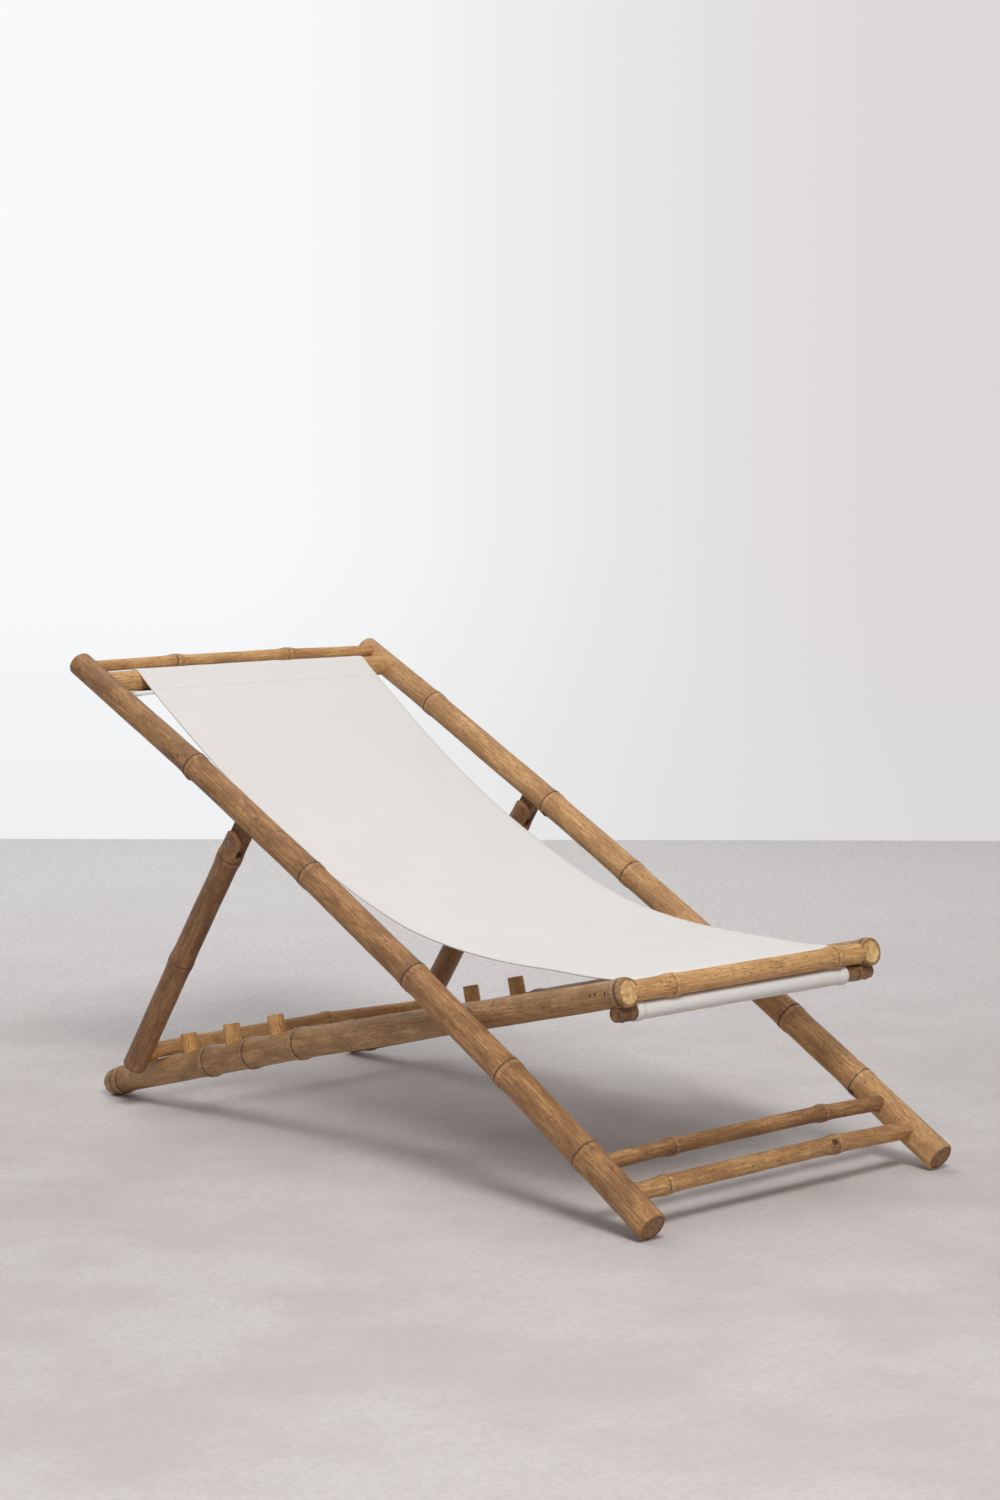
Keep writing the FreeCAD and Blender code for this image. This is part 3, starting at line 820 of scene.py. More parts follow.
@dataclass(frozen=True)
class WallFinish(Finish):
    """A pale wall that glows with painted light where the camera sees it, and is open from behind."""

    bright: Colour = (249, 250, 251)
    # painted shade: the colour of the wall's dimmer side
    painted_shade_side: Colour = (220, 216, 215)
    # painted shade: the colour at the wall's foot, by the floor
    low: Colour = (222, 222, 224)

    def surface(self, tree: Tree) -> Surface:
        """Painted light: brighter to one side, with painted shade to the other side and at its foot.

        Args:
            tree: the material's tree.

        Returns:
            Its colour and roughness.
        """
        across, height, _ = tree.parts(tree.out("ShaderNodeTexCoord", None, "UV"))
        # painted light across the wall, bright to one side and painted shade to the other
        colour = tree.tint(tree.between(across, 0.41, 0.63), self.bright, self.painted_shade_side)
        # painted shade at the wall's foot
        foot = 1.0 - tree.between(height, 0.0, 0.2)
        return tree.tint(foot * 0.35, colour, self.low), 0.9, None

    def cover(self, tree: Tree, shader: bpy.types.Node, colour: Value) -> None:
        """Let the wall glow with painted light for the camera, and be clear from behind.

        Args:
            tree: the material's tree.
            shader: its Principled shader.
            colour: the wall's colour.
        """
        # painted light: the wall glows in its own colour, though it is no lamp
        glow = tree.out("ShaderNodeEmission", {"Color": colour, "Strength": 1.0})
        path = {output.name: Value(tree, output) for output in tree.node("ShaderNodeLightPath").outputs}
        seen = tree.math("MAXIMUM", path["Is Camera Ray"], path["Is Glossy Ray"])
        seen = tree.math("MAXIMUM", seen, path["Is Transmission Ray"])
        front = tree.out("ShaderNodeMixShader", {0: seen, 1: Value(tree, shader.outputs[0]), 2: glow})
        behind = tree.out("ShaderNodeNewGeometry", None, "Backfacing")
        clear = tree.out("ShaderNodeBsdfTransparent")
        both = tree.out("ShaderNodeMixShader", {0: behind, 1: front, 2: clear})
        tree.feed(tree.tree.nodes["Material Output"].inputs["Surface"], both)


class Finishes:
    """All the finishes of the recliner, built once."""

    def __init__(self) -> None:
        """Build the materials."""
        grain = cane_grain_group()

        def bamboo(name: str, *colours: Colour, **shares: float) -> bpy.types.Material:
            """A bamboo finish by its base, pale and ruddy colours."""
            return BambooFinish(name, grain, *colours, **shares).build()

        self.pole = bamboo("pole_bamboo")
        self.light_pole = bamboo(
            "light_pole_bamboo", (200, 150, 95), (232, 184, 126), (154, 105, 62), patch_share=0.45)
        self.side_pole = bamboo("side_pole_bamboo", (174, 130, 84), (208, 164, 114), (126, 86, 52),
                                patch_share=0.45, mottle_share=0.35, scar_width=0.0021)
        self.prop = bamboo("prop_bamboo", (144, 102, 62), (180, 134, 86), (106, 70, 40))
        self.rail = bamboo("rail_bamboo", (212, 158, 96), (240, 192, 130), (166, 110, 60),
                           patch_share=0.5, mottle_share=0.4)
        self.stretcher = bamboo("stretcher_bamboo", (194, 144, 88), (224, 176, 116), (144, 95, 52))
        self.peg = bamboo("peg_bamboo", (212, 156, 88), (236, 186, 118), (164, 112, 60), patch_share=0.4)
        self.cut = CutEndFinish("cane_end", (228, 190, 130), (184, 138, 86)).build()
        self.worn_cut = CutEndFinish("worn_cane_end", (164, 124, 88), (126, 88, 56), (92, 62, 38)).build()
        self.tongue = WoodFinish("tongue_wood", (150, 108, 68), (108, 72, 42), (420.0, 420.0, 22.0),
                                 (0.5, 0.7), 0.0003, 0.4, lean=-35.0).build()
        self.split = WoodFinish("split_bamboo", (176, 136, 92), (122, 84, 52), (900.0, 900.0, 24.0),
                                (0.6, 0.8), 0.0004, 0.5).build()
        self.steel = SteelFinish("fixing_steel").build()
        self.canvas = CanvasFinish("canvas_cotton").build()
        self.thread = PlainFinish("sewing_thread", (232, 228, 223), (218, 213, 207)).build()
        self.knot = PlainFinish("knot_scar", (104, 68, 40), (58, 38, 24)).build()
        # painted shade: a dark mark for each old nail hole, which stands for the shade in the hole
        self.hole_shade = PlainFinish("nail_hole", (62, 42, 28), (40, 27, 18)).build()


def bow_height(distance: float, length: float, bow: float) -> float:
    """Height of a bowed pole's axis over the straight line between its ends."""
    return 4.0 * bow * (distance / length) * (1.0 - distance / length)


def at_width(point: Vector, x: float) -> Vector:
    """The same point at another width."""
    return Vector((x, point.y, point.z))


@dataclass
class SideView:
    """One big frame seen from the side: points go by width, distance along it and height square to it."""

    along: Vector
    up: Vector
    zero: Vector

    def at(self, x: float, distance: float, height: float = 0.0) -> Vector:
        """Point at a width, a distance along the frame and a height over it."""
        return self.zero + ACROSS * x + self.along * distance + self.up * height


@dataclass
class Plan:
    """Sizes that the sub-assemblies share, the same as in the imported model."""

    spacing: float = 0.560
    long_length: float = 1.343
    long_top_radius: float = 0.0182
    long_foot_radius: float = 0.0210
    long_bow: dict[Side, float] = field(default_factory=lambda: {Side.LEFT: 0.020, Side.RIGHT: 0.013})
    side_length: float = 1.118
    side_front_radius: float = 0.0176
    side_belly_radius: float = 0.0214
    side_rear_radius: float = 0.0182
    side_belly: tuple[float, float] = (0.600, 0.880)
    side_bow: float = 0.008
    crossing_gap: float = 0.0056
    pivot_from_top: float = 0.921
    pivot_from_front: float = 0.285
    end_edge: float = 0.0015
    pivot: Vector = field(init=False)
    hinge: Vector = field(init=False)
    back: SideView = field(init=False)
    seat: SideView = field(init=False)

    def __post_init__(self) -> None:
        """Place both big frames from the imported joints."""
        joints = {joint["name"]: Vector(joint["pos_m"]) for joint in frame["joints"]}
        self.pivot = joints["back_hinge"]
        self.hinge = joints["prop_hinge"]
        self.back = self.view(-1.0, self.pivot_from_top, self.long_length, self.mean_bow(self.pivot_from_top),
                              self.long_foot_radius)
        self.seat = self.view(1.0, self.pivot_from_front, self.side_length,
                              self.side_axis(self.pivot_from_front), self.side_rear_radius)

    def view(self, way: float, pivot_at: float, length: float, height: float, foot: float) -> SideView:
        """Lay one big frame through the pivot, with its far end on the floor.

        Args:
            way: 1 where it runs to the rear, -1 where it runs to the front.
            pivot_at: distance of the pivot along it.
            length: its length.
            height: height of the pivot over its ends.
            foot: radius of its far end.

        Returns:
            The frame's side view.
        """
        reach, depth = length - self.end_edge - pivot_at, height + foot
        slope = math.asin(self.pivot.z / math.hypot(reach, depth)) - math.atan2(depth, reach)
        along = Vector((0.0, way * math.cos(slope), -math.sin(slope)))
        up = Vector((0.0, way * math.sin(slope), math.cos(slope)))
        return SideView(along, up, self.pivot - along * pivot_at - up * height)

    def mean_bow(self, distance: float) -> float:
        """Bow of the two long poles, averaged, at a distance from their top end."""
        return bow_height(distance, self.long_length, sum(self.long_bow.values()) / len(self.long_bow))

    def side_axis(self, distance: float) -> float:
        """Bow of a side pole at a distance from its front end."""
        return bow_height(distance, self.side_length, self.side_bow)

    def long_radius(self, distance: float) -> float:
        """Radius of a long pole at a distance from its top end."""
        grown = distance / self.long_length
        return self.long_top_radius + grown * (self.long_foot_radius - self.long_top_radius)

    def side_radius(self, distance: float) -> float:
        """Radius of a side pole at a distance from its front end.

        Args:
            distance: where it is read.

        Returns:
            The radius there.
        """
        growing = min(distance / self.side_belly[0], 1.0)
        thinning = max((distance - self.side_belly[1]) / (self.side_length - self.side_belly[1]), 0.0)
        grown = growing * (self.side_belly_radius - self.side_front_radius)
        return self.side_front_radius + grown - thinning * (self.side_belly_radius - self.side_rear_radius)

    @property
    def side_spacing(self) -> float:
        """Distance between the axes of the two side poles."""
        beside = self.long_radius(self.pivot_from_top) + self.side_radius(self.pivot_from_front)
        return self.spacing - 2.0 * (beside + self.crossing_gap)

    def long_x(self, side: Side) -> float:
        """Place across the chair of a long pole."""
        return side.value * self.spacing / 2

    def side_x(self, side: Side) -> float:
        """Place across the chair of a side pole."""
        return side.value * self.side_spacing / 2


@dataclass
class Cane:
    """One cane, as the cane tree draws it. A single radius may stand for all three."""

    name: str
    start: Vector
    end: Vector
    up: Vector
    radii: Sequence[float]
    surface: bpy.types.Material
    cut: bpy.types.Material
    middle: tuple[float, float] | None = None
    rings: Sequence[float] = ()
    bow: float = 0.0
    seed: float = 0.0
    ring_height: float = 1.0
    crookedness: float = 0.0006
    edge: float = 0.0015
    dishes: tuple[float, float] = (0.0, 0.0)

    def draw(self, canes: CaneTree) -> bpy.types.Object:
        """Draw the cane.

        Args:
            canes: the tree that draws canes.

        Returns:
            The cane as a plain mesh object.
        """
        length = (self.end - self.start).length
        first, middle, last = self.radii if len(self.radii) == 3 else (self.radii[0],) * 3
        middle_from, middle_to = self.middle or (length / 2, length / 2)
        return finished_mesh(self.name, canes.tree, {
            "Start": self.start, "End": self.end, "Up": self.up, "Bow": self.bow,
            "First Radius": first, "Middle Radius": middle, "Last Radius": last,
            "Middle From": middle_from, "Middle To": middle_to, "Ring Height": self.ring_height,
            "Crookedness": self.crookedness, "Seed": self.seed, "Edge Round": self.edge,
            "First Dish": self.dishes[0], "Last Dish": self.dishes[1], "Surface": self.surface,
            "Cut End": self.cut, **dict(zip(canes.ring_names, self.rings))})


def settle(piece: bpy.types.Object, body: Body, slot: Slot, *nodes: str) -> None:
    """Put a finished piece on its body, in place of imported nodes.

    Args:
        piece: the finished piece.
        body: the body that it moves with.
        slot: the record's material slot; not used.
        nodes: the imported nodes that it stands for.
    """
    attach(piece, body.value)
    if nodes:
        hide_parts(*nodes)
    log.info("%s: %d faces, on %s", piece.name, len(piece.data.polygons), body.value)


@dataclass
class SubAssembly:
    """What every sub-assembly starts from."""

    plan: Plan
    finishes: Finishes


@dataclass
class LongPoles(SubAssembly):
    """The two long poles, the sides of the back frame."""

    rings: dict[Side, list[float]] = field(default_factory=lambda: {
        Side.LEFT: [0.306, 0.592, 0.833, 1.040, 1.206],
        Side.RIGHT: [0.181, 0.478, 0.671, 0.850, 1.029, 1.178]})
    seeds: dict[Side, float] = field(default_factory=lambda: {Side.LEFT: 1.0, Side.RIGHT: 2.0})

    def build(self, canes: CaneTree) -> None:
        """Draw both poles and put them in place.

        Args:
            canes: the tree that draws canes.
        """
        plan, looks = self.plan, self.finishes
        middle = (plan.long_top_radius + plan.long_foot_radius) / 2
        radii = (plan.long_top_radius, middle, plan.long_foot_radius)
        for side, surface in zip(Side, (looks.pole, looks.light_pole)):
            start, end = (plan.back.at(plan.long_x(side), distance) for distance in (0.0, plan.long_length))
            pole = Cane(side.label + "_long_cane", start, end, plan.back.up, radii, surface, looks.worn_cut,
                        rings=self.rings[side], bow=plan.long_bow[side], seed=self.seeds[side], edge=0.003,
                        ring_height=0.8, dishes=(0.0, 0.001)).draw(canes)
            settle(pole, Body.BACK, Slot.BAMBOO, side.label + "_long_pole")


@dataclass
class SidePoles(SubAssembly):
    """The two side poles, the sides of the seat frame."""

    rings: dict[Side, list[float]] = field(default_factory=lambda: {
        Side.LEFT: [0.008, 0.654, 0.768, 0.865, 1.085, 1.100],
        Side.RIGHT: [0.008, 0.430, 0.661, 0.860, 1.068]})
    seeds: dict[Side, float] = field(default_factory=lambda: {Side.LEFT: 3.0, Side.RIGHT: 4.0})
    dishes: dict[Side, float] = field(default_factory=lambda: {Side.LEFT: 0.0004, Side.RIGHT: 0.003})

    def build(self, canes: CaneTree) -> None:
        """Draw both poles and put them in place.

        Args:
            canes: the tree that draws canes.
        """
        plan, looks = self.plan, self.finishes
        radii = (plan.side_front_radius, plan.side_belly_radius, plan.side_rear_radius)
        for side in Side:
            start, end = (plan.seat.at(plan.side_x(side), distance) for distance in (0.0, plan.side_length))
            pole = Cane(side.label + "_side_cane", start, end, plan.seat.up, radii, looks.side_pole,
                        looks.cut, middle=plan.side_belly, rings=self.rings[side], bow=plan.side_bow,
                        seed=self.seeds[side], ring_height=1.15,
                        dishes=(self.dishes[side], 0.001)).draw(canes)
            settle(pole, Body.SEAT, Slot.BAMBOO, side.label + "_side_pole")


@dataclass
class Bar:
    """A cane between two poles, its ends let into them. Its rings are measured from the left pole's axis."""

    name: str
    centre: Vector
    spacing: float
    radius: float
    up: Vector
    surface: bpy.types.Material
    cut: bpy.types.Material
    rings: Sequence[float]
    bow: float
    seed: float
    short_of_axis: float = 0.010

    def draw(self, canes: CaneTree) -> bpy.types.Object:
        """Draw the bar.

        Args:
            canes: the tree that draws canes.

        Returns:
            The bar as a plain mesh object.
        """
        half = self.spacing / 2 - self.short_of_axis
        return Cane(
            self.name, at_width(self.centre, -half), at_width(self.centre, half), self.up, (self.radius,),
            self.surface, self.cut, rings=[ring - self.short_of_axis for ring in self.rings], bow=self.bow,
            seed=self.seed, ring_height=1.1, crookedness=0.0005).draw(canes)


@dataclass
class BackBars(SubAssembly):
    """The bars between the long poles: top rail, top canvas bar and the two stretchers."""

    top_rail_from_top: float = 0.025
    top_rail_rise: float = 0.0075
    top_rail_radius: float = 0.0086
    top_bar_from_top: float = 0.061
    top_bar_rise: float = 0.0005
    top_bar_radius: float = 0.015
    upper_stretcher_from_foot: float = 0.115
    upper_stretcher_radius: float = 0.0105
    lower_stretcher_from_foot: float = 0.057
    lower_stretcher_radius: float = 0.012
    stretcher_rise: float = 0.004
    stretcher_bow: float = 0.006

    def centre(self, distance: float, rise: float) -> Vector:
        """Middle of a bar at a distance from the top ends and a height over the poles' axes."""
        return self.plan.back.at(0.0, distance, self.plan.mean_bow(distance) + rise)

    @property
    def top_bar_centre(self) -> Vector:
        """Middle of the bar that carries the canvas."""
        return self.centre(self.top_bar_from_top, self.top_bar_rise)

    def bars(self) -> dict[str, Bar]:
        """The four bars.

        Returns:
            Each bar by the name of the node that it replaces.
        """
        plan, looks = self.plan, self.finishes
        upper = self.centre(plan.long_length - self.upper_stretcher_from_foot, self.stretcher_rise)
        lower = self.centre(plan.long_length - self.lower_stretcher_from_foot, self.stretcher_rise)
        rows = (
            ("top_rail", "top_rail_cane", self.centre(self.top_rail_from_top, self.top_rail_rise),
             self.top_rail_radius, looks.rail, (0.155, 0.372), 0.003, 5.0),
            ("top_canvas_bar", "top_canvas_cane", self.top_bar_centre,
             self.top_bar_radius, looks.rail, (0.330,), 0.0, 6.0),
            ("upper_stretcher", "upper_stretcher_cane", upper,
             self.upper_stretcher_radius, looks.pole, (0.128, 0.420), self.stretcher_bow, 7.0),
            ("lower_stretcher", "lower_stretcher_cane", lower,
             self.lower_stretcher_radius, looks.stretcher, (0.066, 0.388), self.stretcher_bow, 8.0))
        return {
            node: Bar(name, centre, plan.spacing, radius, plan.back.up, surface, looks.cut, rings, bow, seed)
            for node, name, centre, radius, surface, rings, bow, seed in rows}

    def build(self, canes: CaneTree) -> None:
        """Draw the bars and put them in place."""
        for node, bar in self.bars().items():
            settle(bar.draw(canes), Body.BACK, Slot.BAMBOO, node)


@dataclass
class FrontBars(SubAssembly):
    """The front rail, and the dowel under it that holds the lower end of the canvas."""

    rail_radius: float = 0.014
    rail_from_front: float = 0.013
    dowel_radius: float = 0.0105
    dowel_from_front: float = 0.021
    dowel_notch: float = 0.003
    dowel_overhang: float = 0.010

    @property
    def rail_centre(self) -> Vector:
        """Middle of the front rail."""
        return self.plan.seat.at(0.0, self.rail_from_front, self.plan.side_axis(self.rail_from_front))

    @property
    def dowel_centre(self) -> Vector:
        """Middle of the dowel, which is let into notches under the side poles."""
        drop = self.plan.side_radius(self.dowel_from_front) + self.dowel_radius - self.dowel_notch
        return self.plan.seat.at(0.0, self.dowel_from_front,
                                 self.plan.side_axis(self.dowel_from_front) - drop)

    def build(self, canes: CaneTree) -> None:
        """Draw the rail and the dowel and put them in place.

        Args:
            canes: the tree that draws canes.
        """
        plan, looks = self.plan, self.finishes
        half = plan.side_spacing / 2
        rail = Bar("front_rail_cane", self.rail_centre, plan.side_spacing, self.rail_radius, plan.seat.up,
                   looks.rail, looks.cut, (half - 0.150, half + 0.165), 0.0, 9.0)
        settle(rail.draw(canes), Body.SEAT, Slot.FRONT_BAMBOO, "front_rail")
        reach = half + self.dowel_overhang
        dowel = Cane(
            "front_dowel_cane", at_width(self.dowel_centre, -reach), at_width(self.dowel_centre, reach),
            plan.seat.up, (self.dowel_radius,), looks.prop, looks.worn_cut, rings=(0.017, 2 * reach - 0.03),
            seed=10.0, ring_height=0.4, crookedness=0.0, dishes=(0.004, 0.004))
        settle(dowel.draw(canes), Body.SEAT, Slot.FRONT_BAMBOO, "front_canvas_dowel")


Mark = tuple[Vector, Vector]


def marked_points(name: str, marks: Sequence[Mark], edges: Sequence[tuple[int, int]] = ()) -> bpy.types.Mesh:
    """A mesh of points for a tree to work on.

    Args:
        name: the mesh's name.
        marks: each place with the direction that it faces.
        edges: pairs of points that a line joins.

    Returns:
        The mesh, with the directions in its attribute "facing".
    """
    mesh = bpy.data.meshes.new(name)
    mesh.from_pydata([tuple(place) for place, _ in marks], list(edges), [])
    facing = mesh.attributes.new("facing", "FLOAT_VECTOR", "POINT")
    facing.data.foreach_set("vector", [part for _, direction in marks for part in direction])
    return mesh


def mark_tree(name: str, inputs: dict[str, object]) -> tuple[Tree, Value]:
    """Start a tree that sets something on marked points.

    Args:
        name: the tree's name.
        inputs: its inputs beside the marks.

    Returns:
        The tree, and the direction that each mark faces.
    """
    work = new_group(name, "GeometryNodeTree", {"Marks": bpy.types.Mesh, **inputs})
    return work, work.stored("facing", "FLOAT_VECTOR")


def head_tree() -> bpy.types.NodeTree:
    """Geometry Nodes tree that sets a nail or screw head, a low dome, on each mark.

    Returns:
        The tree.
    """
    work, facing = mark_tree("fixing_heads", {
        "Head Radius": 0.0022, "Stretch": 1.0, "Flatness": 0.35, "Surface": bpy.types.Material})
    ball = work.out("GeometryNodeMeshUVSphere", {"Segments": 20, "Rings": 10, "Radius": work["Head Radius"]})
    dome = work.mesh("Transform", ball, {"Scale": work.xyz(work["Stretch"], 1.0, work["Flatness"])})
    heads = work.mesh("InstanceOnPoints", work["Marks"], {
        "Instance": dome, "Rotation": work.upright(facing)})
    return work.leave(bpy.types.Mesh, Mesh=work.dressed(heads, work["Surface"]))


def peg_tree(canes: CaneTree) -> bpy.types.NodeTree:
    """Geometry Nodes tree that stands a short cane on each mark, each one set a little differently.

    Args:
        canes: the tree that draws canes.

    Returns:
        The tree.
    """
    work, facing = mark_tree("pegs", {
        "Radius": 0.012, "Height": 0.03, "Lean": 0.02, "Seed": 1, "Surface": bpy.types.Material,
        "Cut End": bpy.types.Material})
    cane = work.group(canes.tree, {
        "Start": (0.0, 0.0, 0.0), "End": work.xyz(0.0, 0.0, work["Height"]), "Up": (0.0, 1.0, 0.0),
        "First Radius": work["Radius"], "Middle Radius": work["Radius"], "Last Radius": work["Radius"],
        "Middle From": 0.01, "Middle To": 0.011, "Crookedness": 0.0, "Edge Round": 0.0014,
        "Surface": work["Surface"], "Cut End": work["Cut End"]})["Mesh"]
    lean = work["Lean"]
    least = work.xyz(lean * -1.0, lean * -1.0, -math.pi)
    chance = work.out("FunctionNodeRandomValue", {
        0: least, 1: work.xyz(lean, lean, math.pi), "Seed": work["Seed"]}, data_type="FLOAT_VECTOR")
    both = work.out("FunctionNodeRotateRotation", {
        "Rotation": work.upright(facing),
        "Rotate By": work.out("FunctionNodeEulerToRotation", {0: chance})}, rotation_space="LOCAL")
    pegs = work.mesh("InstanceOnPoints", work["Marks"], {"Instance": cane, "Rotation": both})
    numbered = work.store(pegs, "peg", work.out("GeometryNodeInputIndex"), "FLOAT", "INSTANCE")
    shift = work.scaled((0.31, 0.17, 0.53), work.stored("peg", "FLOAT") + work["Seed"])
    own_grain = work.vector("ADD", work.stored("grain", "FLOAT_VECTOR"), shift)
    return work.leave(bpy.types.Mesh, Mesh=work.store(
        work.mesh("RealizeInstances", numbered), "grain", own_grain, "FLOAT_VECTOR"))


def stitch_tree() -> bpy.types.NodeTree:
    """Geometry Nodes tree that sews stitches along lines of marks, flat on the cloth.

    Returns:
        The tree.
    """
    work, facing = mark_tree("stitches", {
        "Pitch": 0.004, "Stitch Length": 0.0032, "Thread Radius": 0.00042, "Surface": bpy.types.Material})
    steps = work.mesh("ResampleCurve", work.mesh("MeshToCurve", work["Marks"]), {
        "Length": work["Pitch"]}, mode="LENGTH")
    ball = work.out("GeometryNodeMeshUVSphere", {"Segments": 6, "Rings": 4, "Radius": 1.0})
    size = work.xyz(work["Stitch Length"] * 0.5, work["Thread Radius"], work["Thread Radius"])
    turned = work.out("FunctionNodeAxesToRotation", {0: work.out("GeometryNodeInputTangent"), 1: facing},
                      primary_axis="X", secondary_axis="Z")
    sewn = work.mesh("InstanceOnPoints", steps, {"Instance": ball, "Rotation": turned, "Scale": size})
    return work.leave(bpy.types.Mesh, Mesh=work.dressed(sewn, work["Surface"]))


def on_skin(piece_name: str, near: Vector, outward: Vector) -> Mark:
    """The place on a piece's surface that is reached from outside.

    Args:
        piece_name: the piece.
        near: a point inside it.
        outward: the direction from there to the outside.

    Returns:
        The place and the direction square to the surface there.
    """
    found, place, normal, _ = bpy.data.objects[piece_name].ray_cast(
        near + outward * 0.1, -outward, distance=0.2)
    if not found:
        raise RuntimeError("%s has no surface by %s" % (piece_name, tuple(near)))
    return place, normal


@dataclass
class Pegs(SubAssembly):
    """The pegs on the side poles that the prop frame's crossbar drops between."""

    count: int = 4
    radius: float = 0.012
    spacing: float = 0.1035
    first_from_front: float = 1.018
    height: float = 0.026
    sunk: float = 0.008
    seeds: dict[Side, int] = field(default_factory=lambda: {Side.LEFT: 3, Side.RIGHT: 8})

    def build(self, canes: CaneTree) -> None:
        """Stand the pegs on both poles.

        Args:
            canes: the tree that draws canes.
        """
        tree, seat = peg_tree(canes), self.plan.seat
        for side in Side:
            marks = []
            for number in range(self.count):
                axis = seat.at(self.plan.side_x(side), self.first_from_front - number * self.spacing, 0.003)
                skin, _ = on_skin(side.label + "_side_cane", axis, seat.up)
                marks.append((skin - seat.up * self.sunk, seat.up))
            pegs = finished_mesh(side.label + "_bamboo_pegs", tree, {
                "Radius": self.radius, "Height": self.height + self.sunk, "Lean": 0.018,
                "Seed": self.seeds[side], "Surface": self.finishes.peg, "Cut End": self.finishes.cut,
            }, marked_points(side.label + "_peg_marks", marks))
            settle(pegs, Body.SEAT, Slot.PEG_WOOD, side.label + "_pegs")


@dataclass
class Props(SubAssembly):
    """The prop frame: two props with forked heads, and the crossbar between them."""

    radius: float = 0.0175
    rings: tuple[float, float] = (0.025, 0.223)
    bow: float = 0.0015
    head_radius: float = 0.018
    below_crossbar: float = 0.027
    slot_width: float = 0.0126
    slot_foot: float = 0.016
    recess_radius: float = 0.0063
    recess_depth: float = 0.005
    cutter_reach: float = 0.06
    crossbar_from_front: float = 0.978
    crossbar_lift: float = 0.03472
    crossbar_radius: float = 0.0118
    seeds: dict[Side, float] = field(default_factory=lambda: {Side.LEFT: 11.0, Side.RIGHT: 12.0})

    def __post_init__(self) -> None:
        """Find the line from the hinge to the crossbar."""
        self.crossbar_centre = self.plan.seat.at(0.0, self.crossbar_from_front, self.crossbar_lift)
        run = self.crossbar_centre - self.plan.hinge
        self.reach = run.length
        self.down = run.normalized()
        self.out = ACROSS.cross(self.down)

    def cutters(self, centre: Vector, side: Side) -> list[bpy.types.Object]:
        """Solids that are cut from a prop's head: the slot, the corners and the bolt's recess.

        Args:
            centre: the hinge's place in the middle of the prop.
            side: which prop it is.

        Returns:
            The cutters.
        """
        reach = self.cutter_reach
        slot, recess = bmesh.new(), bmesh.new()
        size = (self.slot_width, 0.08, self.slot_foot + reach, 1.0)
        bmesh.ops.create_cube(slot, size=1.0, matrix=Matrix.Translation(
            (0.0, 0.0, (self.slot_foot - reach) / 2)) @ Matrix.Diagonal(size))
        deep = side.value * (self.radius - self.recess_depth + 0.02)
        bmesh.ops.create_cone(
            recess, cap_ends=True, segments=64, radius1=self.recess_radius, radius2=self.recess_radius,
            depth=0.04, matrix=Matrix.Translation((deep, 0.0, 0.0)) @ Matrix.Rotation(math.pi / 2, 4, "Y"))
        place = Matrix.Translation(centre) @ Matrix((ACROSS, -self.out, self.down)).transposed().to_4x4()
        made = []
        for number, shape in enumerate((slot, dome_corners(self.head_radius, reach), recess)):
            shape.transform(place)
            mesh = bpy.data.meshes.new("cutter")
            shape.to_mesh(mesh)
            shape.free()
            mesh.materials.append(self.finishes.split)
            made.append(put("%s_cutter_%d" % (side.label, number), mesh))
        return made

    def prop(self, canes: CaneTree, side: Side) -> bpy.types.Object:
        """One prop with its forked head.

        Args:
            canes: the tree that draws canes.
            side: which prop it is.

        Returns:
            The finished prop.
        """
        centre = at_width(self.plan.hinge, self.plan.long_x(side))
        start = centre - self.down * self.head_radius
        pole = Cane(
            side.label + "_prop_cane", start,
            centre + self.down * (self.reach + self.below_crossbar), self.out,
            (self.radius,), self.finishes.prop, self.finishes.worn_cut, bow=self.bow, seed=self.seeds[side],
            rings=[self.head_radius + ring for ring in self.rings], ring_height=0.8, edge=0.004,
            crookedness=0.0).draw(canes)
        cutters = self.cutters(centre, side)
        for cutter in cutters:
            cut = pole.modifiers.new("cut", "BOOLEAN")
            cut.object = cutter
            cut.operation = "DIFFERENCE"
            cut.solver = "EXACT"
            cut.material_mode = "TRANSFER"
        mesh = evaluated(pole)
        pole.modifiers.clear()
        pole.data = mesh
        for cutter in cutters:
            bpy.data.objects.remove(cutter)
        self.lay_grain(mesh, start, self.seeds[side])
        mesh.set_sharp_from_angle(angle=math.radians(38.0))
        return pole

    def lay_grain(self, mesh: bpy.types.Mesh, start: Vector, seed: float) -> None:
        """Give the cut faces the same grain coordinates as the cane around them.

        Args:
            mesh: the prop's mesh.
            start: the cane's first end.
            seed: the cane's seed.
        """
        across = self.down.cross(self.out)
        grain = []
        for vertex in mesh.vertices:
            off = vertex.co - start
            grain += [off.dot(across), off.dot(self.out), off.dot(self.down) + 3.7 * seed]
        mesh.attributes["grain"].data.foreach_set("vector", grain)

    def build(self, canes: CaneTree) -> None:
        """Draw the props and the crossbar and put them in place.

        Args:
            canes: the tree that draws canes.
        """
        for side in Side:
            settle(self.prop(canes, side), Body.PROP, Slot.BAMBOO, side.label + "_prop")
        bar = Bar("crossbar_cane", self.crossbar_centre, self.plan.spacing, self.crossbar_radius,
                  self.plan.seat.up, self.finishes.rail, self.finishes.cut, (0.092, 0.356), 0.005, 13.0)
        settle(bar.draw(canes), Body.PROP, Slot.BAMBOO, "prop_crossbar")


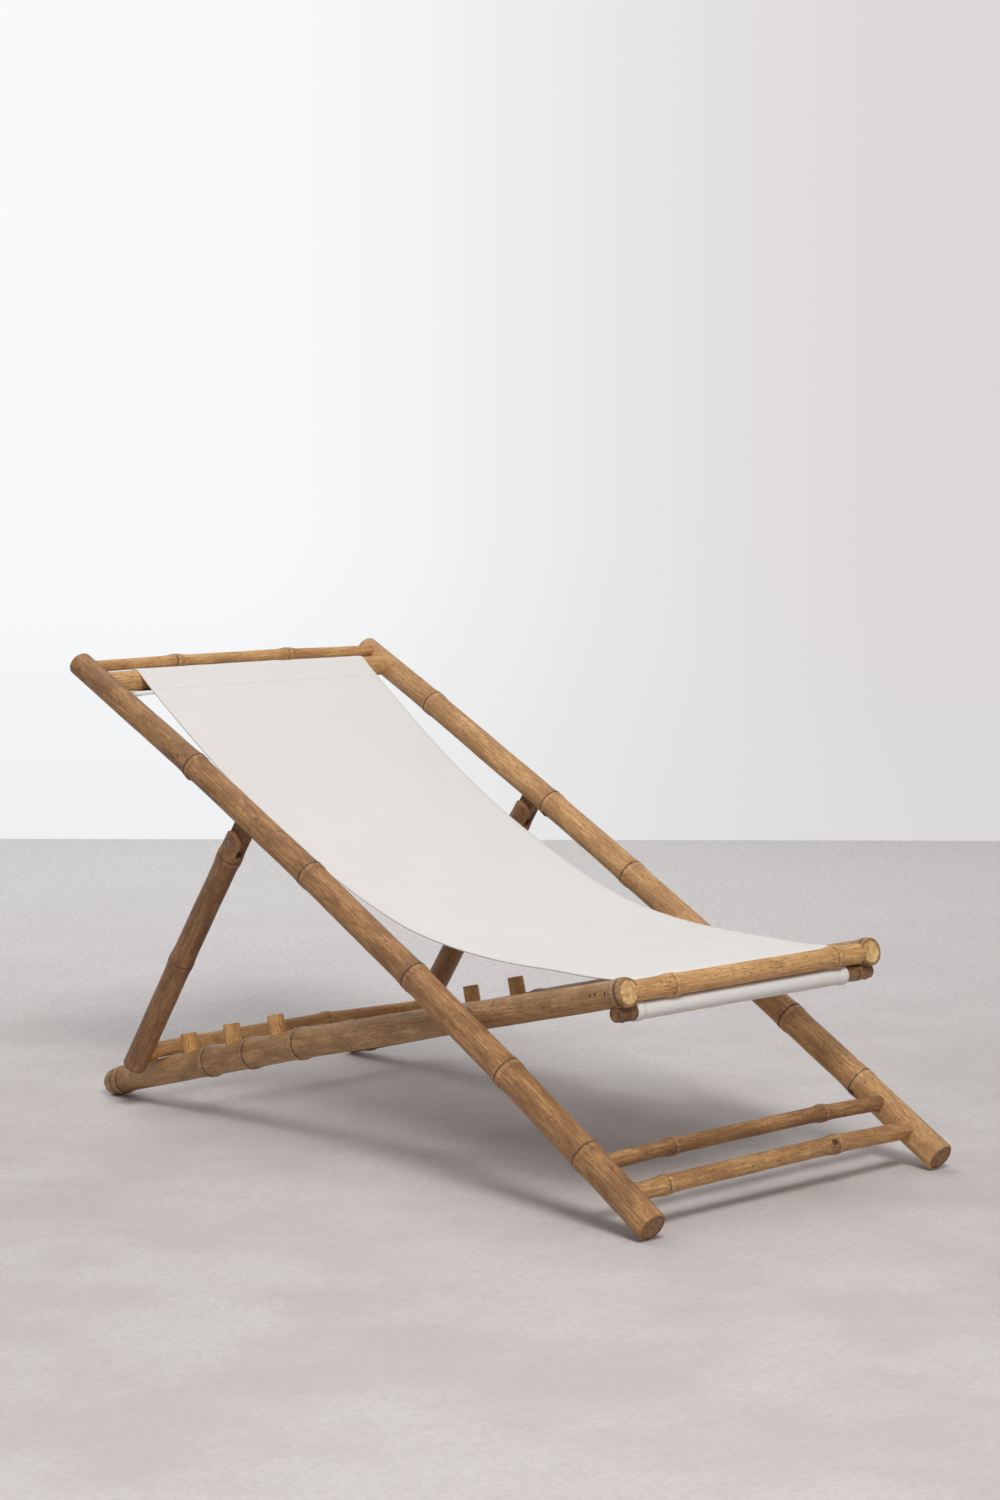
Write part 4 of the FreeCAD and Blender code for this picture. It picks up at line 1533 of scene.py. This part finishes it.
def dome_corners(radius: float, reach: float) -> bmesh.types.BMesh:
    """What is cut from a prop's head to leave it round about the hinge.

    Args:
        radius: the head's radius.
        reach: how far out the shape goes.

    Returns:
        A block over the hinge with a half round taken out of its underside.
    """
    steps = 40
    turns = [math.pi * step / steps for step in range(steps + 1)]
    outline = [(-reach, 0.0), (-reach, -reach), (reach, -reach), (reach, 0.0)]
    outline += [(radius * math.cos(turn), -radius * math.sin(turn)) for turn in turns]
    shape = bmesh.new()
    near, far = ([shape.verts.new((x, y, z)) for y, z in outline] for x in (-reach, reach))
    shape.faces.new(near)
    shape.faces.new(list(reversed(far)))
    for number in range(len(outline)):
        after = (number + 1) % len(outline)
        shape.faces.new((near[after], near[number], far[number], far[after]))
    bmesh.ops.recalc_face_normals(shape, faces=shape.faces)
    return shape


@dataclass
class Fixings(SubAssembly):
    """Nail and screw heads, knots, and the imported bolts, washers and tongues, which get their finish."""

    bars: BackBars
    front: FrontBars
    nail_radius: float = 0.0019
    screw_radius: float = 0.0034
    hole_radius: float = 0.0011
    knot_radius: float = 0.0042
    rail_nail_from_front: float = 0.018
    nail_holes_from_front: tuple[float, ...] = (0.025, 0.043, 0.052)
    tongue_from_top: float = 0.430
    pole_knots: tuple[tuple[Side, float, tuple[float, float, float]], ...] = (
        (Side.LEFT, 0.300, (-0.55, -0.20, -0.80)), (Side.RIGHT, 0.472, (-0.60, -0.25, -0.75)),
        (Side.RIGHT, 1.170, (-0.75, -0.30, -0.58)))
    stretcher_knot: float = 0.384

    def pole_nails(self) -> list[Mark]:
        """Nails through the long poles into the bars and the hinge tongues.

        Returns:
            Their marks.
        """
        plan, found = self.plan, []
        for side in Side:
            x = plan.long_x(side)
            places = [at_width(bar.centre, x) for bar in self.bars.bars().values()]
            places += [plan.back.at(x, self.tongue_from_top + shift,
                                    plan.mean_bow(self.tongue_from_top) - shift / 4)
                       for shift in (-0.008, 0.008)]
            found += [on_skin(side.label + "_long_cane", place, side.outward) for place in places]
        return found

    def side_pole_marks(self, *distances: float) -> list[Mark]:
        """Places on the outer faces of the side poles.

        Args:
            distances: how far they are from the front end.

        Returns:
            Their marks.
        """
        found = []
        for side in Side:
            for distance in distances:
                place = self.plan.seat.at(
                    self.plan.side_x(side), distance, self.plan.side_axis(distance) + 0.002)
                found.append((on_skin(side.label + "_side_cane", place, side.outward)[0], side.outward))
        return found

    def dowel_screws(self) -> list[Mark]:
        """Screws through the dowel into the side poles, from below."""
        return [on_skin("front_dowel_cane", at_width(self.front.dowel_centre, self.plan.side_x(side)),
                        -self.plan.seat.up) for side in Side]

    def knots(self) -> list[Mark]:
        """Eyes on the long poles and the lower stretcher, where a twig was cut away at a ring.

        Returns:
            Their marks.
        """
        plan, found = self.plan, []
        for side, distance, way in self.pole_knots:
            axis = plan.back.at(plan.long_x(side), distance,
                                bow_height(distance, plan.long_length, plan.long_bow[side]))
            found.append(on_skin(side.label + "_long_cane", axis, Vector(way).normalized()))
        low = at_width(self.bars.bars()["lower_stretcher"].centre, self.stretcher_knot - plan.spacing / 2)
        return found + [on_skin("lower_stretcher_cane", low, Vector((-0.2, -0.75, 0.63)).normalized())]

    def build(self) -> None:
        """Set the heads and knots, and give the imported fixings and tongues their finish."""
        tree = head_tree()
        steel, hole_shade, knot = self.finishes.steel, self.finishes.hole_shade, self.finishes.knot
        rail_nails = self.side_pole_marks(self.rail_nail_from_front)
        holes = self.side_pole_marks(*self.nail_holes_from_front)
        for name, body, slot, marks, radius, stretch, flatness, surface in (
                ("long_pole_nails", Body.BACK, Slot.FIXINGS, self.pole_nails(), self.nail_radius,
                 1.0, 0.3, steel),
                ("front_rail_nails", Body.SEAT, Slot.FIXINGS, rail_nails, self.nail_radius, 1.0, 0.3, steel),
                # painted shade: dark marks for the old nail holes
                ("nail_holes", Body.SEAT, Slot.FIXINGS, holes, self.hole_radius, 2.8, 0.3, hole_shade),
                ("dowel_screws", Body.SEAT, Slot.FIXINGS, self.dowel_screws(), self.screw_radius,
                 1.0, 0.3, steel),
                ("cane_knots", Body.BACK, Slot.BAMBOO, self.knots(), self.knot_radius, 1.2, 0.22, knot)):
            heads = finished_mesh(name, tree, {
                "Head Radius": radius, "Stretch": stretch, "Flatness": flatness, "Surface": surface,
            }, marked_points(name + "_marks", marks))
            settle(heads, body, slot)
        tongue = self.finishes.tongue
        for node, finish in (("hinge_bolts", steel), ("pivot_bolts", steel), ("pivot_washers", steel),
                             ("left_hinge_tongue", tongue), ("right_hinge_tongue", tongue)):
            data = frame["nodes"][node].data
            data.materials.clear()
            data.materials.append(finish)


@dataclass
class Station:
    """One place along the cloth, seen from the side, with the direction that its seat face looks in."""

    point: Vector
    normal: Vector
    distance: float
    sewn: float = 0.0


def round_arc(centre: Vector, first: Vector, turn: float, radius: float, step: float = 0.2) -> list[Vector]:
    """Points on an arc about an axis across the chair.

    Args:
        centre: the arc's centre.
        first: direction of its first point.
        turn: how far it turns about +X, in radians.
        radius: its radius.
        step: the largest turn between two points.

    Returns:
        The points, both ends among them.
    """
    count = max(2, math.ceil(abs(turn) / step))
    return [centre + Matrix.Rotation(turn * number / count, 3, "X") @ first.normalized() * radius
            for number in range(count + 1)]


def straight_run(start: Vector, end: Vector, step: float, first: int = 0) -> list[Vector]:
    """Points on a straight line, its end not among them.

    Args:
        start: where it begins.
        end: where it ends.
        step: about how far apart the points are.
        first: number of the first point that is kept.

    Returns:
        The points.
    """
    count = max(2, round((end - start).length / step))
    return [start.lerp(end, part / count) for part in range(first, count)]


def smooth_run(points: Sequence[Vector], first: Vector, last: Vector, step: float) -> list[Vector]:
    """A smooth line through points, with the direction given at both its ends.

    Args:
        points: the points that it passes through.
        first: its direction at the first of them.
        last: its direction at the last.
        step: distance between the points of the result.

    Returns:
        Points along the line, the last one among them and the first one not.
    """
    slopes = [first.normalized()]
    for before, point, after in zip(points, points[1:], points[2:]):
        near, far = (point - before).length, (after - point).length
        slopes.append(((point - before) / near * far + (after - point) / far * near) / (near + far))
    slopes.append(last.normalized())
    made = []
    for number, (start, end) in enumerate(zip(points, points[1:])):
        long = (end - start).length
        count = max(1, round(long / step))
        for part in range(1, count + 1):
            t = part / count
            made.append(
                start * (2 * t ** 3 - 3 * t ** 2 + 1) + slopes[number] * (long * (t ** 3 - 2 * t ** 2 + t))
                + end * (3 * t ** 2 - 2 * t ** 3) + slopes[number + 1] * (long * (t ** 3 - t ** 2)))
    return made


@dataclass
class Canvas(SubAssembly):
    """The sling: one cloth with a sleeve sewn at each end, round the top bar and round the front dowel."""

    bars: BackBars
    front: FrontBars
    thickness: float = 0.0012
    top_gap: float = 0.042
    front_gap: dict[Side, float] = field(default_factory=lambda: {Side.LEFT: 0.0034, Side.RIGHT: 0.0274})
    top_slack: float = 0.0012
    dowel_slack: float = 0.0004
    top_seam: float = 0.040
    flap: float = 0.047
    sag: float = 0.116
    sag_shape: tuple[tuple[float, float], ...] = (
        (0.10, 0.32), (0.21, 0.61), (0.33, 0.84), (0.45, 0.97), (0.53, 1.00),
        (0.61, 0.97), (0.70, 0.83), (0.79, 0.62), (0.89, 0.33), (0.96, 0.13))
    bend_radius: float = 0.012
    bend_rise: float = 0.004
    front_slope: float = 2.0
    seam_share: float = 0.62
    step: float = 0.006
    inner_columns: int = 62
    hem_width: float = 0.011
    hem_thickness: float = 0.0011
    hem_seam: float = 0.008
    hem_turning: float = 0.004
    ripple: float = 0.0016
    flap_flare: float = 0.032

    def __post_init__(self) -> None:
        """Lay out the cloth as seen from the side."""
        self.stations = self.lay_out()

    def hanging_points(self, start: Vector, end: Vector) -> list[Vector]:
        """Points of the sagging cloth between the top bar and the bend behind the front rail."""
        sagged = [start.lerp(end, share) - Vector((0.0, 0.0, self.sag * depth))
                  for share, depth in self.sag_shape]
        return [start, *sagged, end]

    def lay_out(self) -> list[Station]:
        """The whole cloth from the side: upper sleeve, hanging sheet, bend, fall and lower sleeve.

        Returns:
            Its stations, from the end under the top bar.
        """
        seat = self.plan.seat
        half = self.thickness / 2
        top = self.bars.top_bar_centre
        loop = self.bars.top_bar_radius + self.top_slack + half
        slope = math.radians(self.front_slope)
        over = Vector((0.0, math.sin(slope), math.cos(slope)))
        last = Vector((0.0, -math.cos(slope), math.sin(slope)))
        face = self.front.rail_centre + seat.along * (
            self.front.rail_radius + self.dowel_slack + self.thickness + half)
        level = self.front.rail_radius + self.bend_rise - self.bend_radius
        bend = face + seat.along * self.bend_radius + seat.up * level

        normal = self.plan.back.up
        for _ in range(3):
            hanging = self.hanging_points(top + normal * loop, bend + over * self.bend_radius)
            away = (hanging[1] - hanging[0]).normalized()
            steeper = (hanging[2] - hanging[1]).normalized()
            away = (away * 2.0 - steeper).normalized()
            normal = away.cross(ACROSS).normalized()
            if normal.z < 0:
                normal = -normal
        sheet = smooth_run(hanging, away, last, self.step)

        under = top + normal * (loop - self.thickness - 0.0001) + away * self.top_seam
        under_end = top + normal * (loop - self.thickness - 0.0006) + away * self.flap
        reach = under - top
        spread = math.atan2(reach.dot(away), reach.dot(normal)) + math.acos(loop / reach.length)
        sleeve = list(reversed(round_arc(top, normal, -(2 * math.pi - spread), loop)))
        flap = [under_end, under.lerp(under_end, 0.5), *straight_run(under, sleeve[0], self.step)]
        turn = round_arc(bend, over, math.radians(90.0) + slope + math.asin(seat.along.z), self.bend_radius)
        return self.stations_along(flap, sleeve, sheet, turn[1:], self.lower_sleeve(turn[-1]))

    def lower_sleeve(self, above: Vector) -> list[Vector]:
        """The fall behind the front rail, and the loop round the dowel, closed against the fall.

        Args:
            above: where the fall begins.

        Returns:
            The points, from the fall down and round to the cloth's end.
        """
        seat, low = self.plan.seat, self.front.dowel_centre
        wrap = self.front.dowel_radius + self.dowel_slack + self.thickness / 2

        def lean_and_spread(point: Vector) -> tuple[float, float]:
            """Direction of a point from the dowel, and how far round from it a line to it leaves the loop."""
            reach = point - low
            return (math.atan2(reach.dot(seat.along), reach.dot(seat.up)),
                    math.acos(min(1.0, wrap / reach.length)))

        rear = sum(lean_and_spread(above))
        first = seat.up * math.cos(rear) + seat.along * math.sin(rear)
        touch = low + first * wrap
        seam = above.lerp(touch, self.seam_share)
        closing = seam - seat.along * (self.thickness + 0.0001)
        lean, spread = lean_and_spread(closing)
        loop = round_arc(low, first, -(2 * math.pi - rear + (lean - spread)), wrap)
        upward = (above - touch).normalized()
        self.fall_seam = seam + upward * 0.004
        tail = [loop[-1].lerp(closing, 0.5), *(closing + upward * far for far in (0.0, 0.004, 0.008))]
        return straight_run(above, touch, self.step, first=1) + loop + tail

    def stations_along(self, *runs: Sequence[Vector]) -> list[Station]:
        """Join runs of points and work out the direction square to the cloth at each.

        Args:
            runs: the runs in order, the flap and the sleeve first.

        Returns:
            The stations.
        """
        points = [point for run in runs for point in run]
        joined = [points[0]]
        for point in points[1:]:
            if (point - joined[-1]).length > 1e-4:
                joined.append(point)
        self.sheet_from = len(runs[0]) + len(runs[1]) - 1
        made = []
        distance = 0.0
        for number, point in enumerate(joined):
            before, after = joined[max(number - 1, 0)], joined[min(number + 1, len(joined) - 1)]
            if number:
                distance += (point - joined[number - 1]).length
            normal = (after - before).cross(ACROSS).normalized()
            made.append(Station(point, normal, distance, max(0.0, 1.0 - number / len(runs[0]))))
        return made

    def edges(self, station: Station) -> tuple[float, float]:
        """Places across the chair of the cloth's left and right edges.

        Args:
            station: where along the cloth.

        Returns:
            The two places.
        """
        top, bottom = self.stations[self.sheet_from].point.y, self.front.dowel_centre.y
        share = min(max((station.point.y - bottom) / (top - bottom), 0.0), 1.0)
        top_half = self.plan.spacing / 2 - self.plan.long_top_radius - self.top_gap
        found = []
        for side in Side:
            low = self.plan.side_spacing / 2 - self.plan.side_front_radius - self.front_gap[side]
            flare = self.flap_flare * min(1.0, station.sewn * 4.0) * (side is Side.LEFT)
            found.append(side.value * (low + share * (top_half - low) + flare))
        return found[0], found[1]

    def columns(self, left: float, right: float) -> list[tuple[float, float]]:
        """Places of the mesh's columns between two edges.

        Args:
            left: the left edge.
            right: the right edge.

        Returns:
            Each place with its share of the hem's thickness.
        """
        hem, count = self.hem_width, self.inner_columns
        near = [(0.0, 1.0), (hem * 0.35, 1.0), (hem * 0.7, 1.0), (hem - 0.0006, 1.0), (hem + 0.0006, 0.0)]
        inner = [(left + off, share) for off, share in near]
        outer = [(right - off, share) for off, share in reversed(near)]
        first, last = inner[-1][0], outer[0][0]
        middle = [(first + (last - first) * number / count, 0.0) for number in range(1, count)]
        return inner + middle + outer

    def waves(self, x: float, station: Station) -> float:
        """Height of the soft waves in the cloth, which die out towards the two bars.

        Args:
            x: the place across the cloth.
            station: the place along it.

        Returns:
            The height there.
        """
        start = self.stations[self.sheet_from].distance
        end = self.stations[-1].distance - 0.10
        fade = min(max((station.distance - start - 0.02) / 0.10, 0.0), 1.0)
        fade *= min(max((end - station.distance) / 0.08, 0.0), 1.0)
        broad = noise.noise(Vector((x * 7.0, station.distance * 2.6, 4.2)))
        fine = noise.noise(Vector((x * 24.0, station.distance * 6.0, 9.1)))
        return fade * self.ripple * (broad * 1.6 + fine * 0.4)

    def skin(self, station: Station, x: float, hem: float, face: float) -> Vector:
        """A point on one face of the cloth.

        Args:
            station: the place along the cloth.
            x: the place across it.
            hem: share of the hem's thickness there.
            face: 1 for the seat face, -1 for the other.

        Returns:
            The point.
        """
        height = self.waves(x, station) + hem * station.sewn * 2 * self.hem_thickness
        height += self.thickness / 2 if face > 0 else -self.thickness / 2 - hem * self.hem_thickness
        return at_width(station.point + station.normal * height, x)

    def mesh(self) -> bpy.types.Mesh:
        """The cloth as a closed mesh, with its flat measure in metres as its UV map.

        Returns:
            The mesh.
        """
        rings, flat = [], []
        swell = ACROSS * (self.thickness * 0.45)
        for station in self.stations:
            spots = self.columns(*self.edges(station))
            upper, lower = ([self.skin(station, x, hem, face) for x, hem in spots] for face in (1.0, -1.0))
            rings.append(upper + [(upper[-1] + lower[-1]) / 2 + swell] + lower[::-1]
                         + [(upper[0] + lower[0]) / 2 - swell])
            places = [x for x, _ in spots]
            flat += [(x, station.distance) for x in places + [places[-1]] + places[::-1] + [places[0]]]
        across = len(rings[0])
        faces = []
        for base in range(0, across * (len(rings) - 1), across):
            for number in range(across):
                after = (number + 1) % across
                faces.append((base + number, base + across + number, base + across + after, base + after))
        count = (across - 2) // 2
        for row in (0, len(rings) - 1):
            base = row * across
            end = base + across
            cap = [(base, end - 1, end - 2)]
            cap += [(base + number, end - 2 - number, end - 3 - number, base + number + 1)
                    for number in range(count - 1)]
            cap.append((base + count - 1, base + count + 1, base + count))
            faces += [face if row else tuple(reversed(face)) for face in cap]
        mesh = bpy.data.meshes.new("canvas_sling_cloth")
        mesh.from_pydata([tuple(point) for ring in rings for point in ring], [], faces)
        layer = mesh.uv_layers.new(name="UVMap")
        layer.data.foreach_set("uv", [part for loop in mesh.loops for part in flat[loop.vertex_index]])
        mesh.materials.append(self.finishes.canvas)
        mesh.shade_smooth()
        return mesh

    def at_distance(self, distance: float) -> Station:
        """The station at a distance along the cloth.

        Args:
            distance: how far along it is.

        Returns:
            The station, between two of the cloth's own.
        """
        for before, after in zip(self.stations, self.stations[1:]):
            if after.distance >= distance:
                share = (distance - before.distance) / (after.distance - before.distance)
                return Station(before.point.lerp(after.point, share),
                               before.normal.lerp(after.normal, share).normalized(), distance,
                               before.sewn + share * (after.sewn - before.sewn))
        return self.stations[-1]

    def stitch_lines(self) -> bpy.types.Mesh:
        """Lines of marks for the stitches: along both side hems and across at both sleeves.

        Returns:
            The marks.
        """
        marks, pairs = [], []

        def line(places: Sequence[tuple[Station, float, float]], face: float) -> None:
            """Add one line of marks.

            Args:
                places: station, place across and share of the hem's thickness of each mark.
                face: 1 for the seat face, -1 for the other.
            """
            pairs.extend((len(marks) + number, len(marks) + number + 1) for number in range(len(places) - 1))
            marks.extend((self.skin(station, x, hem, face) + station.normal * (face * 0.0001),
                          station.normal * face) for station, x, hem in places)

        start = self.stations[self.sheet_from].distance
        fall = min(self.stations, key=lambda station: (station.point - self.fall_seam).length).distance
        sheet = [station for station in self.stations if start - 0.02 <= station.distance <= fall + 0.06]
        for face in (1.0, -1.0):
            for side in Side:
                inward = -side.value * self.hem_seam
                line([(station, self.edges(station)[side is Side.RIGHT] + inward, 1.0)
                      for station in sheet], face)
        for distance, face in ((start + self.top_seam, 1.0), (self.flap - self.top_seam, 1.0), (fall, -1.0)):
            station = self.at_distance(distance)
            left, right = self.edges(station)
            line([(station, x, hem) for x, hem in self.columns(left + 0.002, right - 0.002)], face)
        return marked_points("stitch_marks", marks, pairs)

    def build(self) -> None:
        """Make the cloth and its stitches, which hang between the two frames, in place of the imported
        canvas.
        """
        cloth = put("canvas_sling_cloth", self.mesh())
        stitches = finished_mesh("canvas_stitches", stitch_tree(), {
            "Pitch": 0.004, "Stitch Length": 0.0032, "Thread Radius": 0.0003,
            "Surface": self.finishes.thread}, self.stitch_lines())
        top, end = self.stations[self.sheet_from], self.stations[-1]
        length = end.distance
        hems = 2 * (self.hem_width + self.hem_turning)
        wide, narrow = (sum(abs(edge) for edge in self.edges(station)) + hems for station in (top, end))
        length * (wide + narrow) / 2
        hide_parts("canvas_sling", "canvas_top_sleeve", "canvas_front_sleeve")
        for piece in (cloth, stitches):
            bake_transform(piece)
            log.info("%s: %d faces, between both frames", piece.name, len(piece.data.polygons))
        log.info("canvas cut %.3f by %.3f m", wide, length)


@dataclass
class Camera:
    """The camera at the photograph's viewing angle."""

    place: Vector = field(default_factory=lambda: Vector((-3.0010, -3.1997, 0.9727)))
    yaw: float = 43.330
    pitch: float = -5.545
    roll: float = 0.108
    focal_share: float = 3.12672
    sensor: float = 36.0

    @property
    def forward(self) -> Vector:
        """The direction that the camera looks in."""
        yaw, pitch = math.radians(self.yaw), math.radians(self.pitch)
        return Vector((math.sin(yaw) * math.cos(pitch), math.cos(yaw) * math.cos(pitch), math.sin(pitch)))

    def build(self) -> None:
        """Make the camera and set it as the scene's own."""
        yaw, roll = math.radians(self.yaw), math.radians(self.roll)
        right = Vector((math.cos(yaw), -math.sin(yaw), 0.0))
        up = right.cross(self.forward)
        turned = right * math.cos(roll) + up * math.sin(roll)
        upright = up * math.cos(roll) - right * math.sin(roll)
        data = bpy.data.cameras.new("camera")
        data.sensor_fit = "HORIZONTAL"
        data.sensor_width = self.sensor
        data.lens = self.focal_share * self.sensor
        camera = put("camera", data)
        camera.matrix_world = Matrix.Translation(self.place) @ Matrix(
            (turned, upright, -self.forward)).transposed().to_4x4()
        bpy.context.scene.camera = camera


@dataclass
class Room:
    """The floor, the wall behind, and the soft lamps."""

    camera: Camera
    wall_distance: float = 7.71
    wall_width: float = 9.0
    wall_height: float = 4.0
    floor_side: float = 18.0
    sky: float = 0.36
    key: float = 118.0
    top: float = 44.0

    def build(self) -> None:
        """Make the room."""
        ahead = Vector((self.camera.forward.x, self.camera.forward.y, 0.0)).normalized()
        across = Vector((ahead.y, -ahead.x, 0.0))
        foot = Vector((self.camera.place.x, self.camera.place.y, 0.0)) + ahead * self.wall_distance
        side = self.floor_side
        floor = self.face("floor", Vector((-side / 2, -side / 2, 0.0)), ACROSS * side,
                          Vector((0.0, side, 0.0)), FloorFinish("studio_floor"))
        wall = self.face("wall", foot - across * (self.wall_width / 2), across * self.wall_width,
                         Vector((0.0, 0.0, self.wall_height)), WallFinish("studio_wall"))
        wall.visible_shadow = False
        world = bpy.data.worlds.new("studio")
        bpy.context.scene.world = world
        world.use_nodes = True
        tree = Tree(world.node_tree)
        ground = world.node_tree.nodes["Background"]
        ground.inputs["Color"].default_value = (0.93, 0.96, 1.0, 1.0)
        seen = tree.out("ShaderNodeLightPath", None, "Is Camera Ray")
        tree.feed(ground.inputs["Strength"], tree.blend(seen, self.sky, 0.9))
        for name, way, away, size, power in (
                ("key_lamp", (-0.48, -0.76, 1.05), 4.5, 1.4, self.key),
                ("top_lamp", (0.0, 0.5, 1.0), 4.0, 3.0, self.top)):
            self.lamp(name, Vector(way).normalized() * away, size, power)

    def face(self, name: str, start: Vector, along: Vector, up: Vector, finish: Finish) -> bpy.types.Object:
        """A flat face with a UV map.

        Args:
            name: its name.
            start: one corner.
            along: its first side, from that corner.
            up: its other side, from that corner.
            finish: its finish.

        Returns:
            The face.
        """
        mesh = bpy.data.meshes.new(name)
        corners = (start, start + along, start + along + up, start + up)
        mesh.from_pydata([tuple(corner) for corner in corners], [], [(0, 1, 2, 3)])
        layer = mesh.uv_layers.new(name="UVMap")
        layer.data.foreach_set("uv", [0.0, 0.0, 1.0, 0.0, 1.0, 1.0, 0.0, 1.0])
        mesh.materials.append(finish.build())
        return put(name, mesh)

    def lamp(self, name: str, way: Vector, size: float, power: float) -> None:
        """A large soft square lamp that faces the chair.

        Args:
            name: its name.
            way: where it hangs, from the chair's middle.
            size: its side.
            power: its power in watts.
        """
        data = bpy.data.lights.new(name, "AREA")
        data.size = size
        data.energy = power
        lamp = put(name, data)
        lamp.location = Vector((0.0, 0.0, 0.35)) + way
        lamp.rotation_mode = "QUATERNION"
        lamp.rotation_quaternion = (-way).to_track_quat("-Z", "Y")


def main() -> None:
    """Build the recliner and its room."""
    logging.basicConfig(level=logging.INFO, format="%(message)s")
    plan, finishes, canes = Plan(), Finishes(), CaneTree()
    bars, front = BackBars(plan, finishes), FrontBars(plan, finishes)
    for part in (LongPoles(plan, finishes), SidePoles(plan, finishes), bars, front, Props(plan, finishes),
                 Pegs(plan, finishes)):
        part.build(canes)
    Fixings(plan, finishes, bars, front).build()
    Canvas(plan, finishes, bars, front).build()
    camera = Camera()
    camera.build()
    Room(camera).build()
    bpy.context.scene.view_settings.view_transform = "Standard"


if __name__ == "__main__":
    main()
